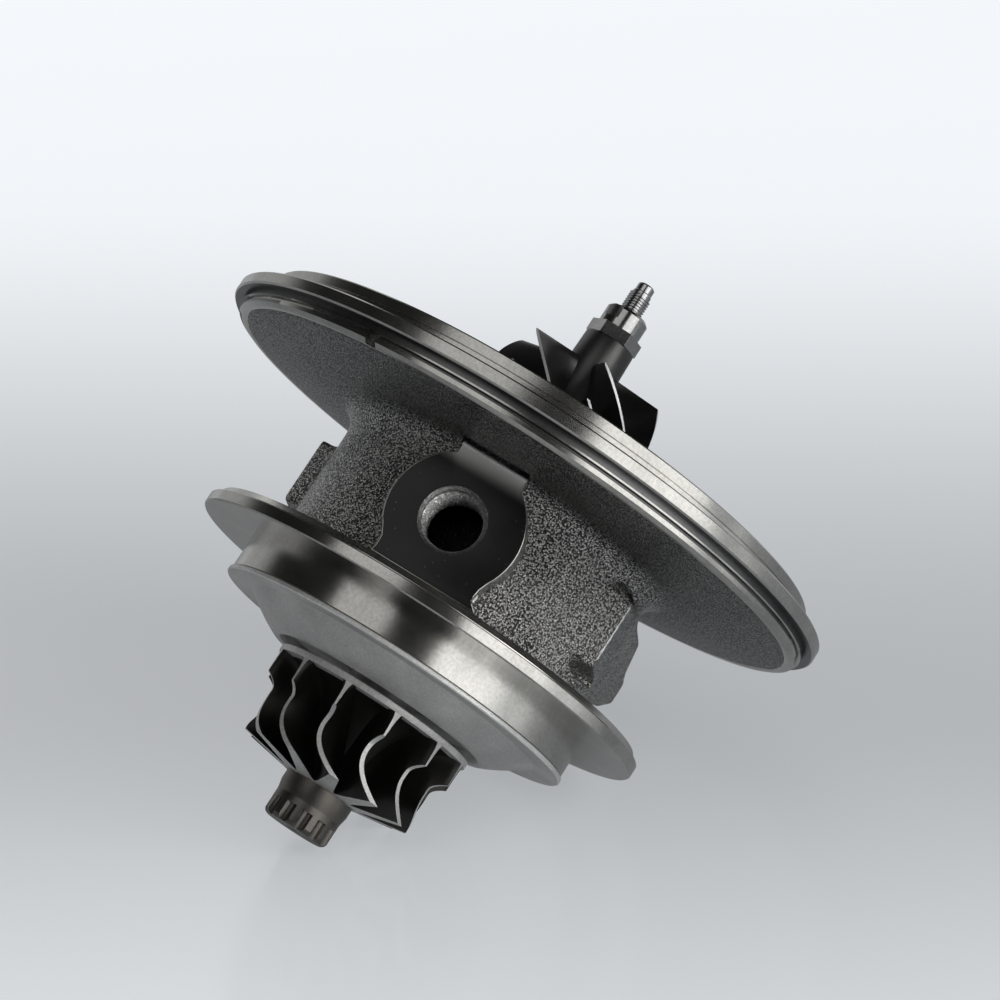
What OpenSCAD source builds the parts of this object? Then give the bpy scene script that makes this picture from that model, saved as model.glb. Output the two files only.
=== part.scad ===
// Turbo cartridge: a bearing housing with a turbine wheel at -X and a compressor wheel at +X.
// The shaft lies along X, the oil inlet faces +Z and the oil drain faces -Z.
// X = 0 is the face that the compressor cover seats on. Angles are turned about X, from +Y towards +Z.

/* [Compressor flange] */
// Diameter of the lip that the compressor cover is clamped against
lip_d = 140; // [138:0.5:150]
// Thickness of the lip
lip_t = 3.4; // [2.6:0.1:5]
// Diameter of the spigot that centres the compressor cover
spigot_d = 128.2; // [120:0.2:132]
// Height of the spigot over the lip
spigot_h = 4.5; // [4:0.1:6]
// Diameter of the machined shoulder under the lip
shoulder_d = 134.8; // [126:0.2:135.4]
// Height of the shoulder under the lip
shoulder_h = 3.5; // [2:0.1:5]
// Width of the locating notch in the shoulder
notch_w = 2.6; // [1.5:0.1:5]

/* [Cast body] */
// Diameter of the cast body between the two flanges
body_d = 70.2; // [66:0.2:78]
// Length of the cast body between the two flanges
body_len = 31.3; // [31:0.1:36]
// Radius of the cast fillet under the compressor flange
root_fillet = 6; // [3:0.5:7]
// How far the right side lug's flat face stands out beyond the body
lug_proud = 0.4; // [0.2:0.1:6]
// Length of the side lugs along the shaft
lug_len = 19.2; // [16:0.1:21]
// Height of the right side lug's upper edge over the shaft axis
lug_top = 16; // [8:0.5:18]
// How far the left side lug's flat face stands out beyond the body
left_lug_proud = 3.4; // [1:0.1:6]
// Height of the left side lug's upper edge over the shaft axis
left_lug_top = 0.5; // [0:0.5:6]

/* [Turbine flange] */
// Diameter of the machined rim of the turbine flange
rim_d = 102.6; // [96:0.2:112]
// Thickness of the machined rim
rim_t = 2.6; // [1.8:0.1:4]
// Thickness of the smaller step on the cast side of the rim
step_t = 1.5; // [1:0.1:3]
// Diameter of the ring that the turbine housing fits over
ring_d = 78.9; // [76:0.1:88]
// Length of that ring
ring_len = 7.9; // [7:0.1:11]

/* [Oil connections] */
// Distance of the oil inlet's axis behind the cover seat
inlet_back = 23.3; // [22.9:0.1:24]
// Height of the inlet's machined face over the body
inlet_proud = 2.9; // [2:0.1:6]
// Diameter of the inlet boss
inlet_boss_d = 28.3; // [24:0.1:29]
// Bore of the inlet's thread, for M12 x 1.5
inlet_bore = 10.4; // [8:0.1:12.4]
// Depth of the inlet's thread
inlet_depth = 14; // [10:0.5:16]
// Height of the drain's machined face over the body
drain_proud = 5.9; // [4:0.1:10]
// Diameter of the drain hole
drain_bore = 18; // [12:0.5:20]
// Distance between the two drain bolts
drain_pitch = 48; // [44:0.5:52]
// Bore of the drain bolts' thread, for M8
drain_tap = 6.8; // [5:0.1:7.4]

/* [Heat shield] */
// How far the heat shield's rim stands out over the ring that it seats on
shield_over = 0.5; // [0.2:0.1:2]
// Thickness of the shield's sheet
shield_t = 0.9; // [0.6:0.1:1.2]
// Height of the shield's dome over its rim
dome_h = 5.6; // [4.8:0.1:6.4]

/* [Turbine wheel] */
// Diameter of the wheel at its back disc
tw_d = 44.6; // [40:0.2:47]
// Diameter over the blades where the gas leaves
tw_exit_d = 38.8; // [32:0.2:39.4]
// Thickness of the back disc at its rim
tw_disc_t = 1.4; // [1:0.1:2]
// Length of the blades' inlet edge
tw_inlet_w = 5.1; // [3.5:0.1:7]
// Axial length of the blades from the disc
tw_blade_len = 17.1; // [14:0.1:20]
// Diameter of the hub at the blades' end
tw_hub_d = 15.4; // [13:0.2:17]
// Number of blades
tw_blades = 12; // [9:1:13]
// Thickness of a blade at its outer edge
tw_tip_t = 1.2; // [0.8:0.1:1.6]
// Thickness of a blade at the hub
tw_root_t = 2.1; // [1.6:0.1:2.6]
// Diameter of the castellated nose
nose_d = 14.6; // [12:0.2:15.4]
// Length of the castellated nose
nose_len = 5.4; // [4:0.1:8]
// Number of grooves round the nose
nose_grooves = 12; // [6:1:14]

/* [Compressor wheel] */
// Diameter of the wheel where the air leaves
cw_d = 45.2; // [42:0.2:48.4]
// Diameter over the blades where the air enters
cw_inlet_d = 32; // [27:0.2:34]
// Length of the bladed part from the back face
cw_len = 22.4; // [19:0.1:25]
// Width of the air's outlet at the blade tips
cw_outlet_w = 3.2; // [2.4:0.1:4]
// Diameter of the hub's nose
cw_hub_d = 11.6; // [10:0.1:12.4]
// Length of the hub's nose beyond the blades
cw_nose_len = 6.5; // [5:0.1:9]
// Number of full blades, with a splitter between each two
cw_blades = 5; // [4:1:7]
// Thickness of a blade at its outer edge
cw_tip_t = 0.7; // [0.5:0.05:0.9]
// Thickness of a blade at the hub
cw_root_t = 1.3; // [0.95:0.05:1.6]

/* [Shaft and bearings] */
// Diameter of the shaft's bearing journals
journal_d = 8; // [7:0.1:9]
// Diameter of the shaft through the thrust parts and the compressor wheel
spindle_d = 6; // [5.4:0.1:6.4]
// Diameter of the shaft's thread, M5
thread_d = 5; // [4:0.1:5.2]
// Length of the threaded end beyond the nut
stub_len = 7.1; // [4:0.1:10]
// Diameter of the shaft's hub in the turbine-end seal
seal_hub_d = 15.8; // [14.6:0.1:16.6]
// Outer diameter of the floating bearings
float_d = 13; // [12:0.1:14]
// Length of a floating bearing
float_len = 7.5; // [6:0.1:7.8]
// Radial oil clearance between the shaft and a floating bearing
film_in = 0.02; // [0.015:0.005:0.04]
// Radial oil clearance between a floating bearing and the housing
film_out = 0.05; // [0.03:0.005:0.08]
// Diameter of the thrust bearing
thrust_d = 40; // [38:0.5:42]
// Thickness of the thrust bearing
thrust_t = 2.9; // [2.4:0.1:3.4]
// Axial play on each side of the thrust bearing
thrust_play = 0.06; // [0.04:0.01:0.1]

/* [Seal plate] */
// Width of the seal plate outside the compressor wheel
plate_over = 6.9; // [6.5:0.1:8]
// Thickness of the seal plate at its hub
plate_t = 8.9; // [8.6:0.1:10]
// Running gap between the compressor wheel's back and the plate
wheel_gap = 0.6; // [0.4:0.05:1]

/* [Nut] */
// Width across the flats of the nut's hexagon
nut_af = 10.2; // [9:0.1:11.2]
// Height of the hexagon
nut_hex_h = 2.4; // [1.8:0.1:4]
// Diameter of the nut's collar
collar_d = 9.4; // [8:0.1:10]
// Height of the collar
collar_h = 5; // [3:0.1:7]

/* [Hidden] */
$fn = 96;

// Shared: the overrun of cuts, a small chamfer, and the play of parts that sit in or on each other
cut = 1;
ch = 0.35;
seat_play = 0.02;

// Compressor flange: cone of the cast underside, undercut, fine turned line, shoulder chamfer, notch
under_x = -lip_t - shoulder_h;
cast_drop = 1.5;
cast_x = under_x - cast_drop;
line_x = 2.05;
line_w = 0.25;
line_deep = 0.15;
shoulder_ch = 0.9;
notch_angle = 65.5;
notch_deep = 2.2;

// Turbine flange: stations, step, fillet, wall of the ring and depth of the recess inside it
step_x = under_x - body_len;
rim_x = step_x - step_t;
rim_face_x = rim_x - rim_t;
ring_end_x = rim_face_x - ring_len;
step_in = 0.9;
flange_fillet = 3;
ring_wall = 3.2;
ring_recess = 2;

// Seal plate: stations, rim for its circlip, recess for the wheel, groove for its O-ring
plate_d = cw_d + 2 * plate_over;
plate_sink = 0.1;
plate_face_x = spigot_h - plate_sink;
plate_seat_x = plate_face_x - plate_t;
recess_deep = 2;
recess_play = 0.9;
recess_x = plate_face_x - recess_deep;
rim_drop = 2.4;
plate_rim_x = plate_face_x - rim_drop;
plate_rim_w = 3.1;
o_ring_d = 1.8;
o_ring_x = plate_seat_x + o_ring_d;
o_ring_room = 0.3;
o_ring_edge = 0.02;

// Seal plate's circlip, round its groove in the housing
big_clip_t = 1.5;
big_clip_bite = 1.2;
big_clip_in = 2.4;
big_clip_gap = 9;
big_clip_hole = 1.2;
big_clip_hole_angle = 14;

// Thrust parts: room in front of the plate, collar, spacer, screws, grooves
thrust_room = 6.1;
thrust_front_x = plate_seat_x - thrust_room;
thrust_back_x = thrust_front_x - thrust_t;
disc_t = 1.9;
disc_d = 17;
disc_room = 0.7;
shoulder_x = thrust_back_x - thrust_play - disc_t;
disc_floor_x = shoulder_x - disc_room;
spacer_d = 9.2;
spacer_room = 0.3;
pad_groove_w = 1.2;
pad_groove_deep = 0.4;
pad_groove_angles = [0:60:300];
screw_d = 3;
screw_len = 7;
screw_head_d = 5.6;
screw_head_h = 1.7;
screw_socket = 2.5;
screw_ring_share = 0.775;
screw_angles = [5, 60, 175];

// Oil flinger, compressor-end seal and baffle
sleeve_d = 12;
sleeve_room = 0.35;
sling_d = 16;
sling_t = 0.8;
sling_back = 1.6;
baffle_t = 0.8;
baffle_play = 0.5;
baffle_dish = 2.2;
seal_ring_w = 1.2;
seal_ring_deep = 1.1;
seal_ring_gap = 0.4;
sleeve_ring_x = plate_seat_x + plate_t / 3;

// Turbine-end seal and the chamber behind it
seal_len = 6.1;
seal_room = 0.25;
seal_bore = seal_hub_d + 2 * seal_room;
housing_nose_h = 3.3;
housing_nose_wall = 4.2;
housing_end_x = ring_end_x - housing_nose_h;
chamber_x = housing_end_x + seal_len;
chamber_len = 2.3;
chamber_in_x = chamber_x + chamber_len;
chamber_room = 2.6;

// Floating bearings and their clips
float_bore = float_d + 2 * film_out;
clip_t = 1;
clip_bite = 0.8;
clip_w = 2;
clip_gap = 0.1;
clip_wall = 0.5;
clip_seat = 2.2;
tb_out_x = chamber_in_x + clip_wall;
tb_x = tb_out_x + clip_t + clip_gap;
tb_in_x = tb_x + float_len + clip_gap;
cb_out_x = disc_floor_x - clip_seat - clip_t;
cb_x = cb_out_x - clip_gap - float_len;
cb_in_x = cb_x - clip_gap - clip_t;
float_groove = 0.2;
float_hole_angles = [30:60:330];
journal_relief = 0.3;

// Oil inlet, gallery over the bearings and feeds down to them
inlet_x = -inlet_back;
inlet_h = body_d / 2 + inlet_proud;
countersink = 1.75;
drill_d = 4.4;
gallery_d = 3.4;
gallery_wall = 5.2;
gallery_h = float_bore / 2 + gallery_wall + gallery_d / 2;
feed_d = 2.4;
spotface_w = 1.45;
tongue_w = 15;
tongue_over = 0.75;
tongue_bevel = 0.7;
tongue_gap_w = 1;
tongue_gap_low = 2.2;
tongue_gap_h = 5.2;

// Drain: the cavity under the bearings' carrier, the pad with its two bosses, the side lugs
carrier_wall = 5;
carrier_d = float_bore + 2 * carrier_wall;
sump_wall = 1.6;
body_wall = 9;
sump_d = body_d - 2 * body_wall;
sump_h = body_d / 3;
sump_top = 3;
sump_slot_w = carrier_d / 2;
drain_h = body_d / 2 + drain_proud;
drain_pad_h = 16.5;
drain_boss_wall = 6.1;
drain_hub_wall = 4.5;
tap_depth = 15;
lug_edge_shares = [[0.43, 1], [0.49, 0], [0.49, -0.66], [0.2, -0.82], [0.13, -1], [-0.16, -1], [-0.37, -0.63],
    [-0.48, -0.32], [-0.5, 0.25], [-0.4, 0.84], [-0.29, 1]];
left_lug_edge_shares = [[0.21, 1], [0.26, 0.8], [0.34, 0.1], [0.4, -0.3], [0.4, -0.66], [0.2, -0.82],
    [0.13, -1], [-0.16, -1], [-0.37, -0.63], [-0.42, -0.2], [-0.38, 0.1], [-0.3, 0.8], [-0.26, 1]];
lug_rise_share = 0.5;
lug_inset_share = 0.7;

// Heat shield: width of its flat rim, room round the wheel's boss, gap in front of the housing's nose
shield_rim_w = 6;
floor_room = 1.6;
floor_gap = 0.2;
dome_power = 1.25;
dome_steps = 10;

// Turbine wheel: stations, weld boss, hub, neck, nose and centre hole
tw_gap = 0.7;
crest_x = ring_end_x - shield_t - dome_h;
tw_back_x = crest_x - tw_gap;
tw_front_x = tw_back_x - tw_disc_t;
weld_h = 1.2;
weld_x = tw_back_x + weld_h;
tw_hub_over = 2.1;
tw_hub_len = tw_blade_len + tw_hub_over;
tw_hub_end_x = tw_front_x - tw_hub_len;
neck_len = 4.2;
neck_x = tw_hub_end_x - neck_len;
nose_x = neck_x - nose_len;
nose_groove_deep = 1;
nose_ch = 0.8;
centre_d = 3;
tw_corner = 2.8;
tw_first_angle = 83;
tw_back_lean = 10;
tw_exit_turn = 30.5;

// Compressor wheel: stations, rim of its disc and the turn of its blades
cw_back_x = recess_x + wheel_gap;
cw_rim_t = 1.1;
cw_front_x = cw_back_x + cw_rim_t;
cw_hub_x = cw_back_x + cw_len;
cw_nose_x = cw_hub_x + cw_nose_len;
cw_tip_back = 0.4;
cw_tip_x = cw_hub_x - cw_tip_back;
cw_first_angle = 103.5;
cw_turn = 50;
cw_sweep = 14;
cw_taper_share = 0.4;
cw_splitter_share = 0.34;

// Blades: rows from root to tip, stations along the flow, depth that the root is sunk into the hub
blade_rows = 2;
blade_stations = 16;
hub_steps = 24;
blade_sink = 0.7;
edge_step = 0.1;
edge_share = 0.5;

// Nut and threaded end
nut_turn = 7;
nut_end_x = cw_nose_x + nut_hex_h + collar_h;
stub_x = nut_end_x + stub_len;
thread_back = 3.5;
dog_len = 1.8;
dog_in = 0.6;
collar_ch = 0.7;

// A profile in (radius, x) turned round the shaft axis
module turned() {
    rotate([0, 90, 0]) rotate_extrude() children();
}

// A plain ring round the shaft between two stations
module ring(outer_d, inner_d, x0, x1) {
    turned() translate([inner_d / 2, x0]) square([(outer_d - inner_d) / 2, x1 - x0]);
}

// The section of a fillet that fills the corner at (r, x) outwards, towards +x or -x
module cove(r, x, fillet, side) {
    translate([r, x]) scale([1, side]) difference() {
        square([fillet, fillet]);
        translate([fillet, fillet]) circle(r = fillet);
    }
}

// Places its children at an angle and a radius round the shaft
module round_shaft(angle, radius, x) {
    rotate([angle, 0, 0]) translate([x, radius, 0]) children();
}

// Turns an upright cylinder to lie along the shaft
module along_shaft() {
    rotate([0, 90, 0]) children();
}

module housing_section() {
    lip_r = lip_d / 2;
    spigot_r = spigot_d / 2;
    shoulder_r = shoulder_d / 2;
    body_r = body_d / 2;
    rim_r = rim_d / 2;
    step_r = rim_r - step_in;
    ring_r = ring_d / 2;
    nose_r = seal_bore / 2 + housing_nose_wall;
    polygon([
        [0, spigot_h],
        [spigot_r - ch, spigot_h],
        [spigot_r, spigot_h - ch],
        [spigot_r, line_x + line_w],
        [spigot_r - line_deep, line_x + line_w / 2],
        [spigot_r, line_x],
        [spigot_r, 0],
        [lip_r - ch, 0],
        [lip_r, -ch],
        [lip_r, ch - lip_t],
        [lip_r - ch, -lip_t],
        [shoulder_r + shoulder_ch, -lip_t],
        [shoulder_r, -lip_t - shoulder_ch],
        [shoulder_r, under_x + ch],
        [shoulder_r - ch, under_x],
        [body_r + root_fillet, cast_x],
        [body_r, cast_x],
        [body_r, step_x],
        [step_r - ch, step_x],
        [step_r, step_x - ch],
        [step_r, rim_x],
        [rim_r - ch, rim_x],
        [rim_r, rim_x - ch],
        [rim_r, rim_face_x + ch],
        [rim_r - ch, rim_face_x],
        [ring_r, rim_face_x],
        [ring_r, ring_end_x + ch],
        [ring_r - ch, ring_end_x],
        [ring_r - ring_wall, ring_end_x],
        [ring_r - ring_wall, ring_end_x + ring_recess],
        [nose_r, ring_end_x + ring_recess],
        [nose_r, housing_end_x],
        [0, housing_end_x]
    ]);
    cove(body_r, cast_x, root_fillet, -1);
    cove(body_r, step_x, flange_fillet, 1);
}

// Everything that is bored along the shaft
module housing_bores() {
    clip_groove = float_bore + 2 * clip_bite;
    ring(plate_d + 2 * seat_play, 0, plate_seat_x, spigot_h + cut);
    ring(plate_d + 2 * big_clip_bite, 0, plate_rim_x, plate_rim_x + big_clip_t + clip_gap);
    ring(thrust_d + 2 * seat_play, 0, thrust_back_x, plate_seat_x + cut);
    ring(disc_d + 2 * disc_room, 0, disc_floor_x, thrust_back_x + cut);
    ring(float_bore, 0, chamber_x, disc_floor_x + cut);
    for (x = [cb_out_x, cb_in_x, tb_out_x, tb_in_x])
        ring(clip_groove, 0, x, x + clip_t);
    ring(clip_groove, 0, tb_in_x + clip_t + clip_wall, cb_in_x - clip_wall);
    ring(seal_bore + 2 * chamber_room, 0, chamber_x, chamber_in_x);
    ring(seal_bore, 0, housing_end_x - cut, chamber_x + cut);
}

// The oil's way in: the tapped inlet, the gallery over the bearings and the feeds down to them
module oil_ways() {
    gallery_x = tb_x + float_len / 2 - gallery_d;
    translate([inlet_x, 0, inlet_h - inlet_depth]) cylinder(d = inlet_bore, h = inlet_depth + cut);
    translate([inlet_x, 0, inlet_h - countersink])
        cylinder(d1 = inlet_bore, d2 = inlet_bore + 2 * countersink, h = countersink);
    translate([inlet_x, 0, gallery_h]) cylinder(d = drill_d, h = inlet_h - gallery_h - inlet_depth + cut);
    translate([gallery_x, 0, gallery_h])
        along_shaft() cylinder(d = gallery_d, h = thrust_back_x - gallery_x + cut);
    for (x = [tb_x, cb_x])
        translate([x + float_len / 2, 0, 0]) cylinder(d = feed_d, h = gallery_h);
}

// A slot through the carrier, from a station on the shaft to the next, between two depths
module sump_slot(x0, x1, z_top, z_low) {
    translate([x0, -sump_slot_w / 2, -z_low]) cube([x1 - x0, sump_slot_w, z_low - z_top]);
}

// The oil's way out: slots in the carrier, the cavity under it and the drain hole
module sump() {
    x0 = chamber_in_x + sump_wall / 2;
    x1 = disc_floor_x - sump_wall;
    intersection() {
        ring(sump_d, carrier_d, x0, x1);
        translate([x0, -sump_d / 2, -sump_h]) cube([x1 - x0, sump_d, sump_h - sump_top]);
    }
    sump_slot(tb_in_x + clip_t + clip_wall, cb_in_x - clip_wall, 0, sump_h / 2);
    sump_slot(x1 - cut, thrust_back_x + cut, disc_d / 2, thrust_d / 2 - sump_wall);
    sump_slot(chamber_x + sump_wall / 2, x0 + cut, seal_bore / 2, carrier_d / 2 + sump_wall);
    translate([inlet_x, 0, -drain_h - cut]) cylinder(d = drain_bore, h = drain_h - sump_h + 2 * cut);
}

// One of the casting's flat-faced sides, which carry the drain bolts
module side_lug(side, proud, top, edge_shares) {
    half_w = body_d / 2 + proud;
    rise = lug_top * lug_rise_share;
    inset = half_w * lug_inset_share;
    intersection() {
        translate([inlet_x, max(0, side * half_w), 0]) rotate([90, 0, 0]) linear_extrude(half_w)
            polygon([for (p = edge_shares) [p[0] * lug_len, p[1] * (p[1] > 0 ? top + rise : drain_h)]]);
        translate([inlet_x - lug_len, 0, 0]) rotate([90, 0, 90]) linear_extrude(2 * lug_len)
            polygon([
                [0, -drain_h],
                [side * half_w, -drain_h],
                [side * half_w, top],
                [side * inset, top + rise],
                [0, top + rise]
            ]);
    }
}

module drain_pad() {
    half = drain_pitch / 2;
    hub_r = drain_bore / 2 + drain_hub_wall;
    boss_r = drain_tap / 2 + drain_boss_wall;
    translate([inlet_x, 0, -drain_h]) linear_extrude(drain_pad_h) {
        circle(r = hub_r);
        for (side = [-1, 1]) translate([0, side * half]) circle(r = boss_r);
        polygon([
            [hub_r, 0],
            [boss_r, half],
            [-boss_r, half],
            [-hub_r, 0],
            [-boss_r, -half],
            [boss_r, -half]
        ]);
    }
}

// The inlet boss, with a tongue that runs towards the compressor flange and ends in a bevelled edge
module inlet_boss() {
    end = inlet_boss_d / 2 + tongue_over;
    translate([inlet_x, 0, 0]) cylinder(d = inlet_boss_d, h = inlet_h);
    translate([inlet_x, tongue_w / 2, 0]) rotate([90, 0, 0]) linear_extrude(tongue_w)
        polygon([
            [0, 0],
            [0, inlet_h],
            [end - tongue_bevel, inlet_h],
            [end, inlet_h - tongue_bevel],
            [end, 0]
        ]);
}

module bearing_housing() {
    screw_r = screw_ring_share * thrust_d / 2;
    color("dimgray") difference() {
        union() {
            turned() housing_section();
            inlet_boss();
            side_lug(-1, lug_proud, lug_top, lug_edge_shares);
            side_lug(1, left_lug_proud, left_lug_top, left_lug_edge_shares);
            drain_pad();
        }
        translate([inlet_x, 0, inlet_h]) cylinder(d = inlet_boss_d + 2 * spotface_w, h = lip_d / 2 - inlet_h);
        translate([inlet_x + inlet_boss_d / 2 + tongue_over, -tongue_w / 2, inlet_h - tongue_gap_low])
            cube([tongue_gap_w, tongue_w, tongue_gap_h]);
        housing_bores();
        sump();
        oil_ways();
        for (side = [-1, 1]) translate([inlet_x, side * drain_pitch / 2, -drain_h - cut])
            cylinder(d = drain_tap, h = tap_depth + cut);
        for (angle = screw_angles) round_shaft(angle, screw_r, thrust_back_x - screw_len)
            along_shaft() cylinder(d = screw_d, h = screw_len + cut);
        round_shaft(notch_angle, shoulder_d / 2 - notch_deep, under_x - cut)
            translate([0, 0, -notch_w / 2]) cube([shoulder_h - ch + cut, notch_deep + cut, notch_w]);
    }
}

// The dome's height over the rim, as a share, at a share of the way from its crest to its foot
function dome_share(s) = 1 - pow(s, dome_power);

// Sheet-metal shield: a flat rim, a dome, a lip turned in at the wheel and a floor behind the wheel
module heat_shield() {
    t = shield_t;
    rim_r = ring_d / 2 + shield_over;
    foot_r = rim_r - shield_rim_w;
    lip_r = tw_d / 2 + recess_play;
    crest_r = lip_r + t;
    hole_r = seal_bore / 2 + floor_room;
    floor_x = housing_end_x - floor_gap;
    shares = [for (i = [dome_steps:-1:1]) i / dome_steps];
    dome = [for (s = shares) [crest_r + s * (foot_r - crest_r), ring_end_x - t - dome_share(s) * dome_h]];
    color("lightgray") turned() polygon(concat(
        [[rim_r, ring_end_x], [rim_r, ring_end_x - t]],
        dome,
        [[crest_r, crest_x], [lip_r + t / 3, crest_x + t / 3], [lip_r, crest_x + t], [lip_r, floor_x - t],
            [hole_r, floor_x - t], [hole_r, floor_x], [crest_r, floor_x], [crest_r, crest_x + t]],
        [for (i = [dome_steps - 1:-1:0]) [dome[i][0] - t / 2, dome[i][1] + t]]
    ));
}

// A sprung seal ring with its gap at the bottom
module seal_ring(bore_d, turning_d, x) {
    outer_d = bore_d - 2 * seat_play;
    inner_d = turning_d - 2 * seal_ring_deep + seal_ring_gap;
    color("gray") difference() {
        ring(outer_d, inner_d, x, x + seal_ring_w);
        translate([x - cut, -seal_ring_gap / 2, -outer_d])
            cube([seal_ring_w + 2 * cut, seal_ring_gap, outer_d]);
    }
}

module turbine_seal_ring() seal_ring(seal_bore, seal_hub_d, housing_end_x + seal_len / 2);
module compressor_seal_ring() seal_ring(sleeve_d + 2 * sleeve_room, sleeve_d, sleeve_ring_x);

// A floating bearing, with six oil holes in a groove round its middle
module floating_bearing(x) {
    inner_r = journal_d / 2 + film_in;
    outer_r = float_d / 2;
    middle = x + float_len / 2;
    color("goldenrod") difference() {
        turned() polygon([
            [inner_r + ch, x],
            [outer_r - ch, x],
            [outer_r, x + ch],
            [outer_r, middle - feed_d / 2],
            [outer_r - float_groove, middle - feed_d / 2],
            [outer_r - float_groove, middle + feed_d / 2],
            [outer_r, middle + feed_d / 2],
            [outer_r, x + float_len - ch],
            [outer_r - ch, x + float_len],
            [inner_r + ch, x + float_len],
            [inner_r, x + float_len - ch],
            [inner_r, x + ch]
        ]);
        for (angle = float_hole_angles) round_shaft(angle, 0, middle)
            rotate([-90, 0, 0]) cylinder(d = feed_d * 2 / 3, h = float_d);
    }
}

module turbine_bearing() floating_bearing(tb_x);
module compressor_bearing() floating_bearing(cb_x);

// A clip in its groove beside a bearing, open at the bottom
module bearing_clip(x) {
    outer_d = float_bore + 2 * clip_bite - 2 * seat_play;
    color("slategray") difference() {
        ring(outer_d, outer_d - 2 * clip_w, x + seat_play, x + clip_t - seat_play);
        translate([x - cut, -clip_w, -outer_d]) cube([clip_t + 2 * cut, 2 * clip_w, outer_d]);
    }
}

module turbine_bearing_outer_clip() bearing_clip(tb_out_x);
module turbine_bearing_inner_clip() bearing_clip(tb_in_x);
module compressor_bearing_inner_clip() bearing_clip(cb_in_x);
module compressor_bearing_outer_clip() bearing_clip(cb_out_x);

// Bronze plate with six oil grooves on each face, fed from the gallery through its top
module thrust_bearing() {
    screw_r = screw_ring_share * thrust_d / 2;
    front_groove_x = thrust_front_x - pad_groove_deep;
    color("peru") difference() {
        ring(thrust_d, spacer_d + 2 * spacer_room, thrust_back_x, thrust_front_x);
        for (angle = pad_groove_angles, x = [thrust_back_x + pad_groove_deep - cut, front_groove_x])
            round_shaft(angle, 0, x) translate([0, 0, -pad_groove_w / 2])
                cube([cut, disc_d / 2, pad_groove_w]);
        for (angle = screw_angles) round_shaft(angle, screw_r, thrust_back_x - cut)
            along_shaft() cylinder(d = screw_d + ch, h = thrust_t + 2 * cut);
        translate([thrust_back_x - cut, 0, gallery_h])
            along_shaft() cylinder(d = feed_d, h = thrust_t / 2 + cut);
        translate([thrust_back_x + thrust_t / 2, 0, 0]) cylinder(d = feed_d / 2, h = gallery_h);
        translate([thrust_back_x - cut, -sump_slot_w / 2, -thrust_d / 2 - cut])
            cube([thrust_t + 2 * cut, sump_slot_w, thrust_d / 2 - disc_d / 2]);
    }
}

module thrust_bearing_screws() {
    screw_r = screw_ring_share * thrust_d / 2;
    color("silver") for (angle = screw_angles)
        round_shaft(angle, screw_r, thrust_front_x) along_shaft() difference() {
            union() {
                cylinder(d = screw_head_d, h = screw_head_h);
                translate([0, 0, cut - thrust_t - screw_len])
                    cylinder(d = screw_d - 2 * seat_play, h = thrust_t + screw_len - cut);
            }
            translate([0, 0, screw_head_h / 3]) cylinder(d = screw_socket, h = screw_head_h, $fn = 6);
        }
}

// Pressed sheet that keeps thrown oil off the compressor seal, cut away over the drain
module oil_baffle() {
    x = plate_seat_x - baffle_t;
    outer_r = thrust_d / 2 - baffle_play;
    hole_r = sleeve_d / 2 + disc_room;
    color("darkgray") difference() {
        turned() polygon([
            [hole_r, x],
            [outer_r - baffle_t, x],
            [outer_r - baffle_t, x - baffle_dish],
            [outer_r, x - baffle_dish],
            [outer_r, x + baffle_t],
            [hole_r, x + baffle_t]
        ]);
        translate([x - baffle_dish - cut, -sump_slot_w / 2, -outer_r - cut])
            cube([baffle_dish + baffle_t + 2 * cut, sump_slot_w, baffle_dish + cut]);
    }
}

module seal_plate() {
    plate_r = plate_d / 2;
    hub_r = plate_r - plate_rim_w;
    bore_r = sleeve_d / 2 + sleeve_room;
    wheel_r = cw_d / 2 + recess_play;
    groove_r = plate_r - o_ring_d;
    groove_end = o_ring_x + o_ring_d + o_ring_room;
    color("lightsteelblue") turned() polygon([
        [bore_r, plate_seat_x],
        [plate_r - ch, plate_seat_x],
        [plate_r, plate_seat_x + ch],
        [plate_r, o_ring_x],
        [groove_r, o_ring_x],
        [groove_r, groove_end],
        [plate_r, groove_end],
        [plate_r, plate_rim_x],
        [hub_r, plate_rim_x],
        [hub_r, plate_face_x - ch],
        [hub_r - ch, plate_face_x],
        [wheel_r, plate_face_x],
        [wheel_r, recess_x],
        [bore_r, recess_x]
    ]);
}

module seal_plate_o_ring() {
    color("black") turned() translate([plate_d / 2 - o_ring_d / 2, o_ring_x + (o_ring_d + o_ring_room) / 2])
        circle(d = o_ring_d - 2 * o_ring_edge);
}

// Internal circlip, with a hole for the pliers at each side of its gap
module seal_plate_circlip() {
    outer_r = plate_d / 2 + big_clip_bite - seat_play;
    inner_r = plate_d / 2 - big_clip_in;
    x = plate_rim_x + seat_play;
    color("darkslategray") difference() {
        ring(2 * outer_r, 2 * inner_r, x, x + big_clip_t);
        translate([x - cut, -big_clip_gap / 2, -outer_r - cut])
            cube([big_clip_t + 2 * cut, big_clip_gap, outer_r]);
        for (side = [-1, 1]) round_shaft(270 + side * big_clip_hole_angle, inner_r + big_clip_hole, x - cut)
            along_shaft() cylinder(d = big_clip_hole, h = big_clip_t + 2 * cut);
    }
}

// A point in (radius, x) set at an angle round the shaft
function on_shaft(p, angle) = [p[1], p[0] * cos(angle), p[0] * sin(angle)];
function mix(p, q, share) = p + (q - p) * share;

// A blade root moved on, away from its tip, so that it sinks into the hub
function sunk(root, tip) = root - (tip - root) * blade_sink / norm(tip - root);

// Half of the angle that a thickness takes up at a radius, on a blade that leans from the shaft's direction
function half_angle(thickness, radius, lean) = thickness / cos(lean) / radius * 90 / PI;

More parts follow.
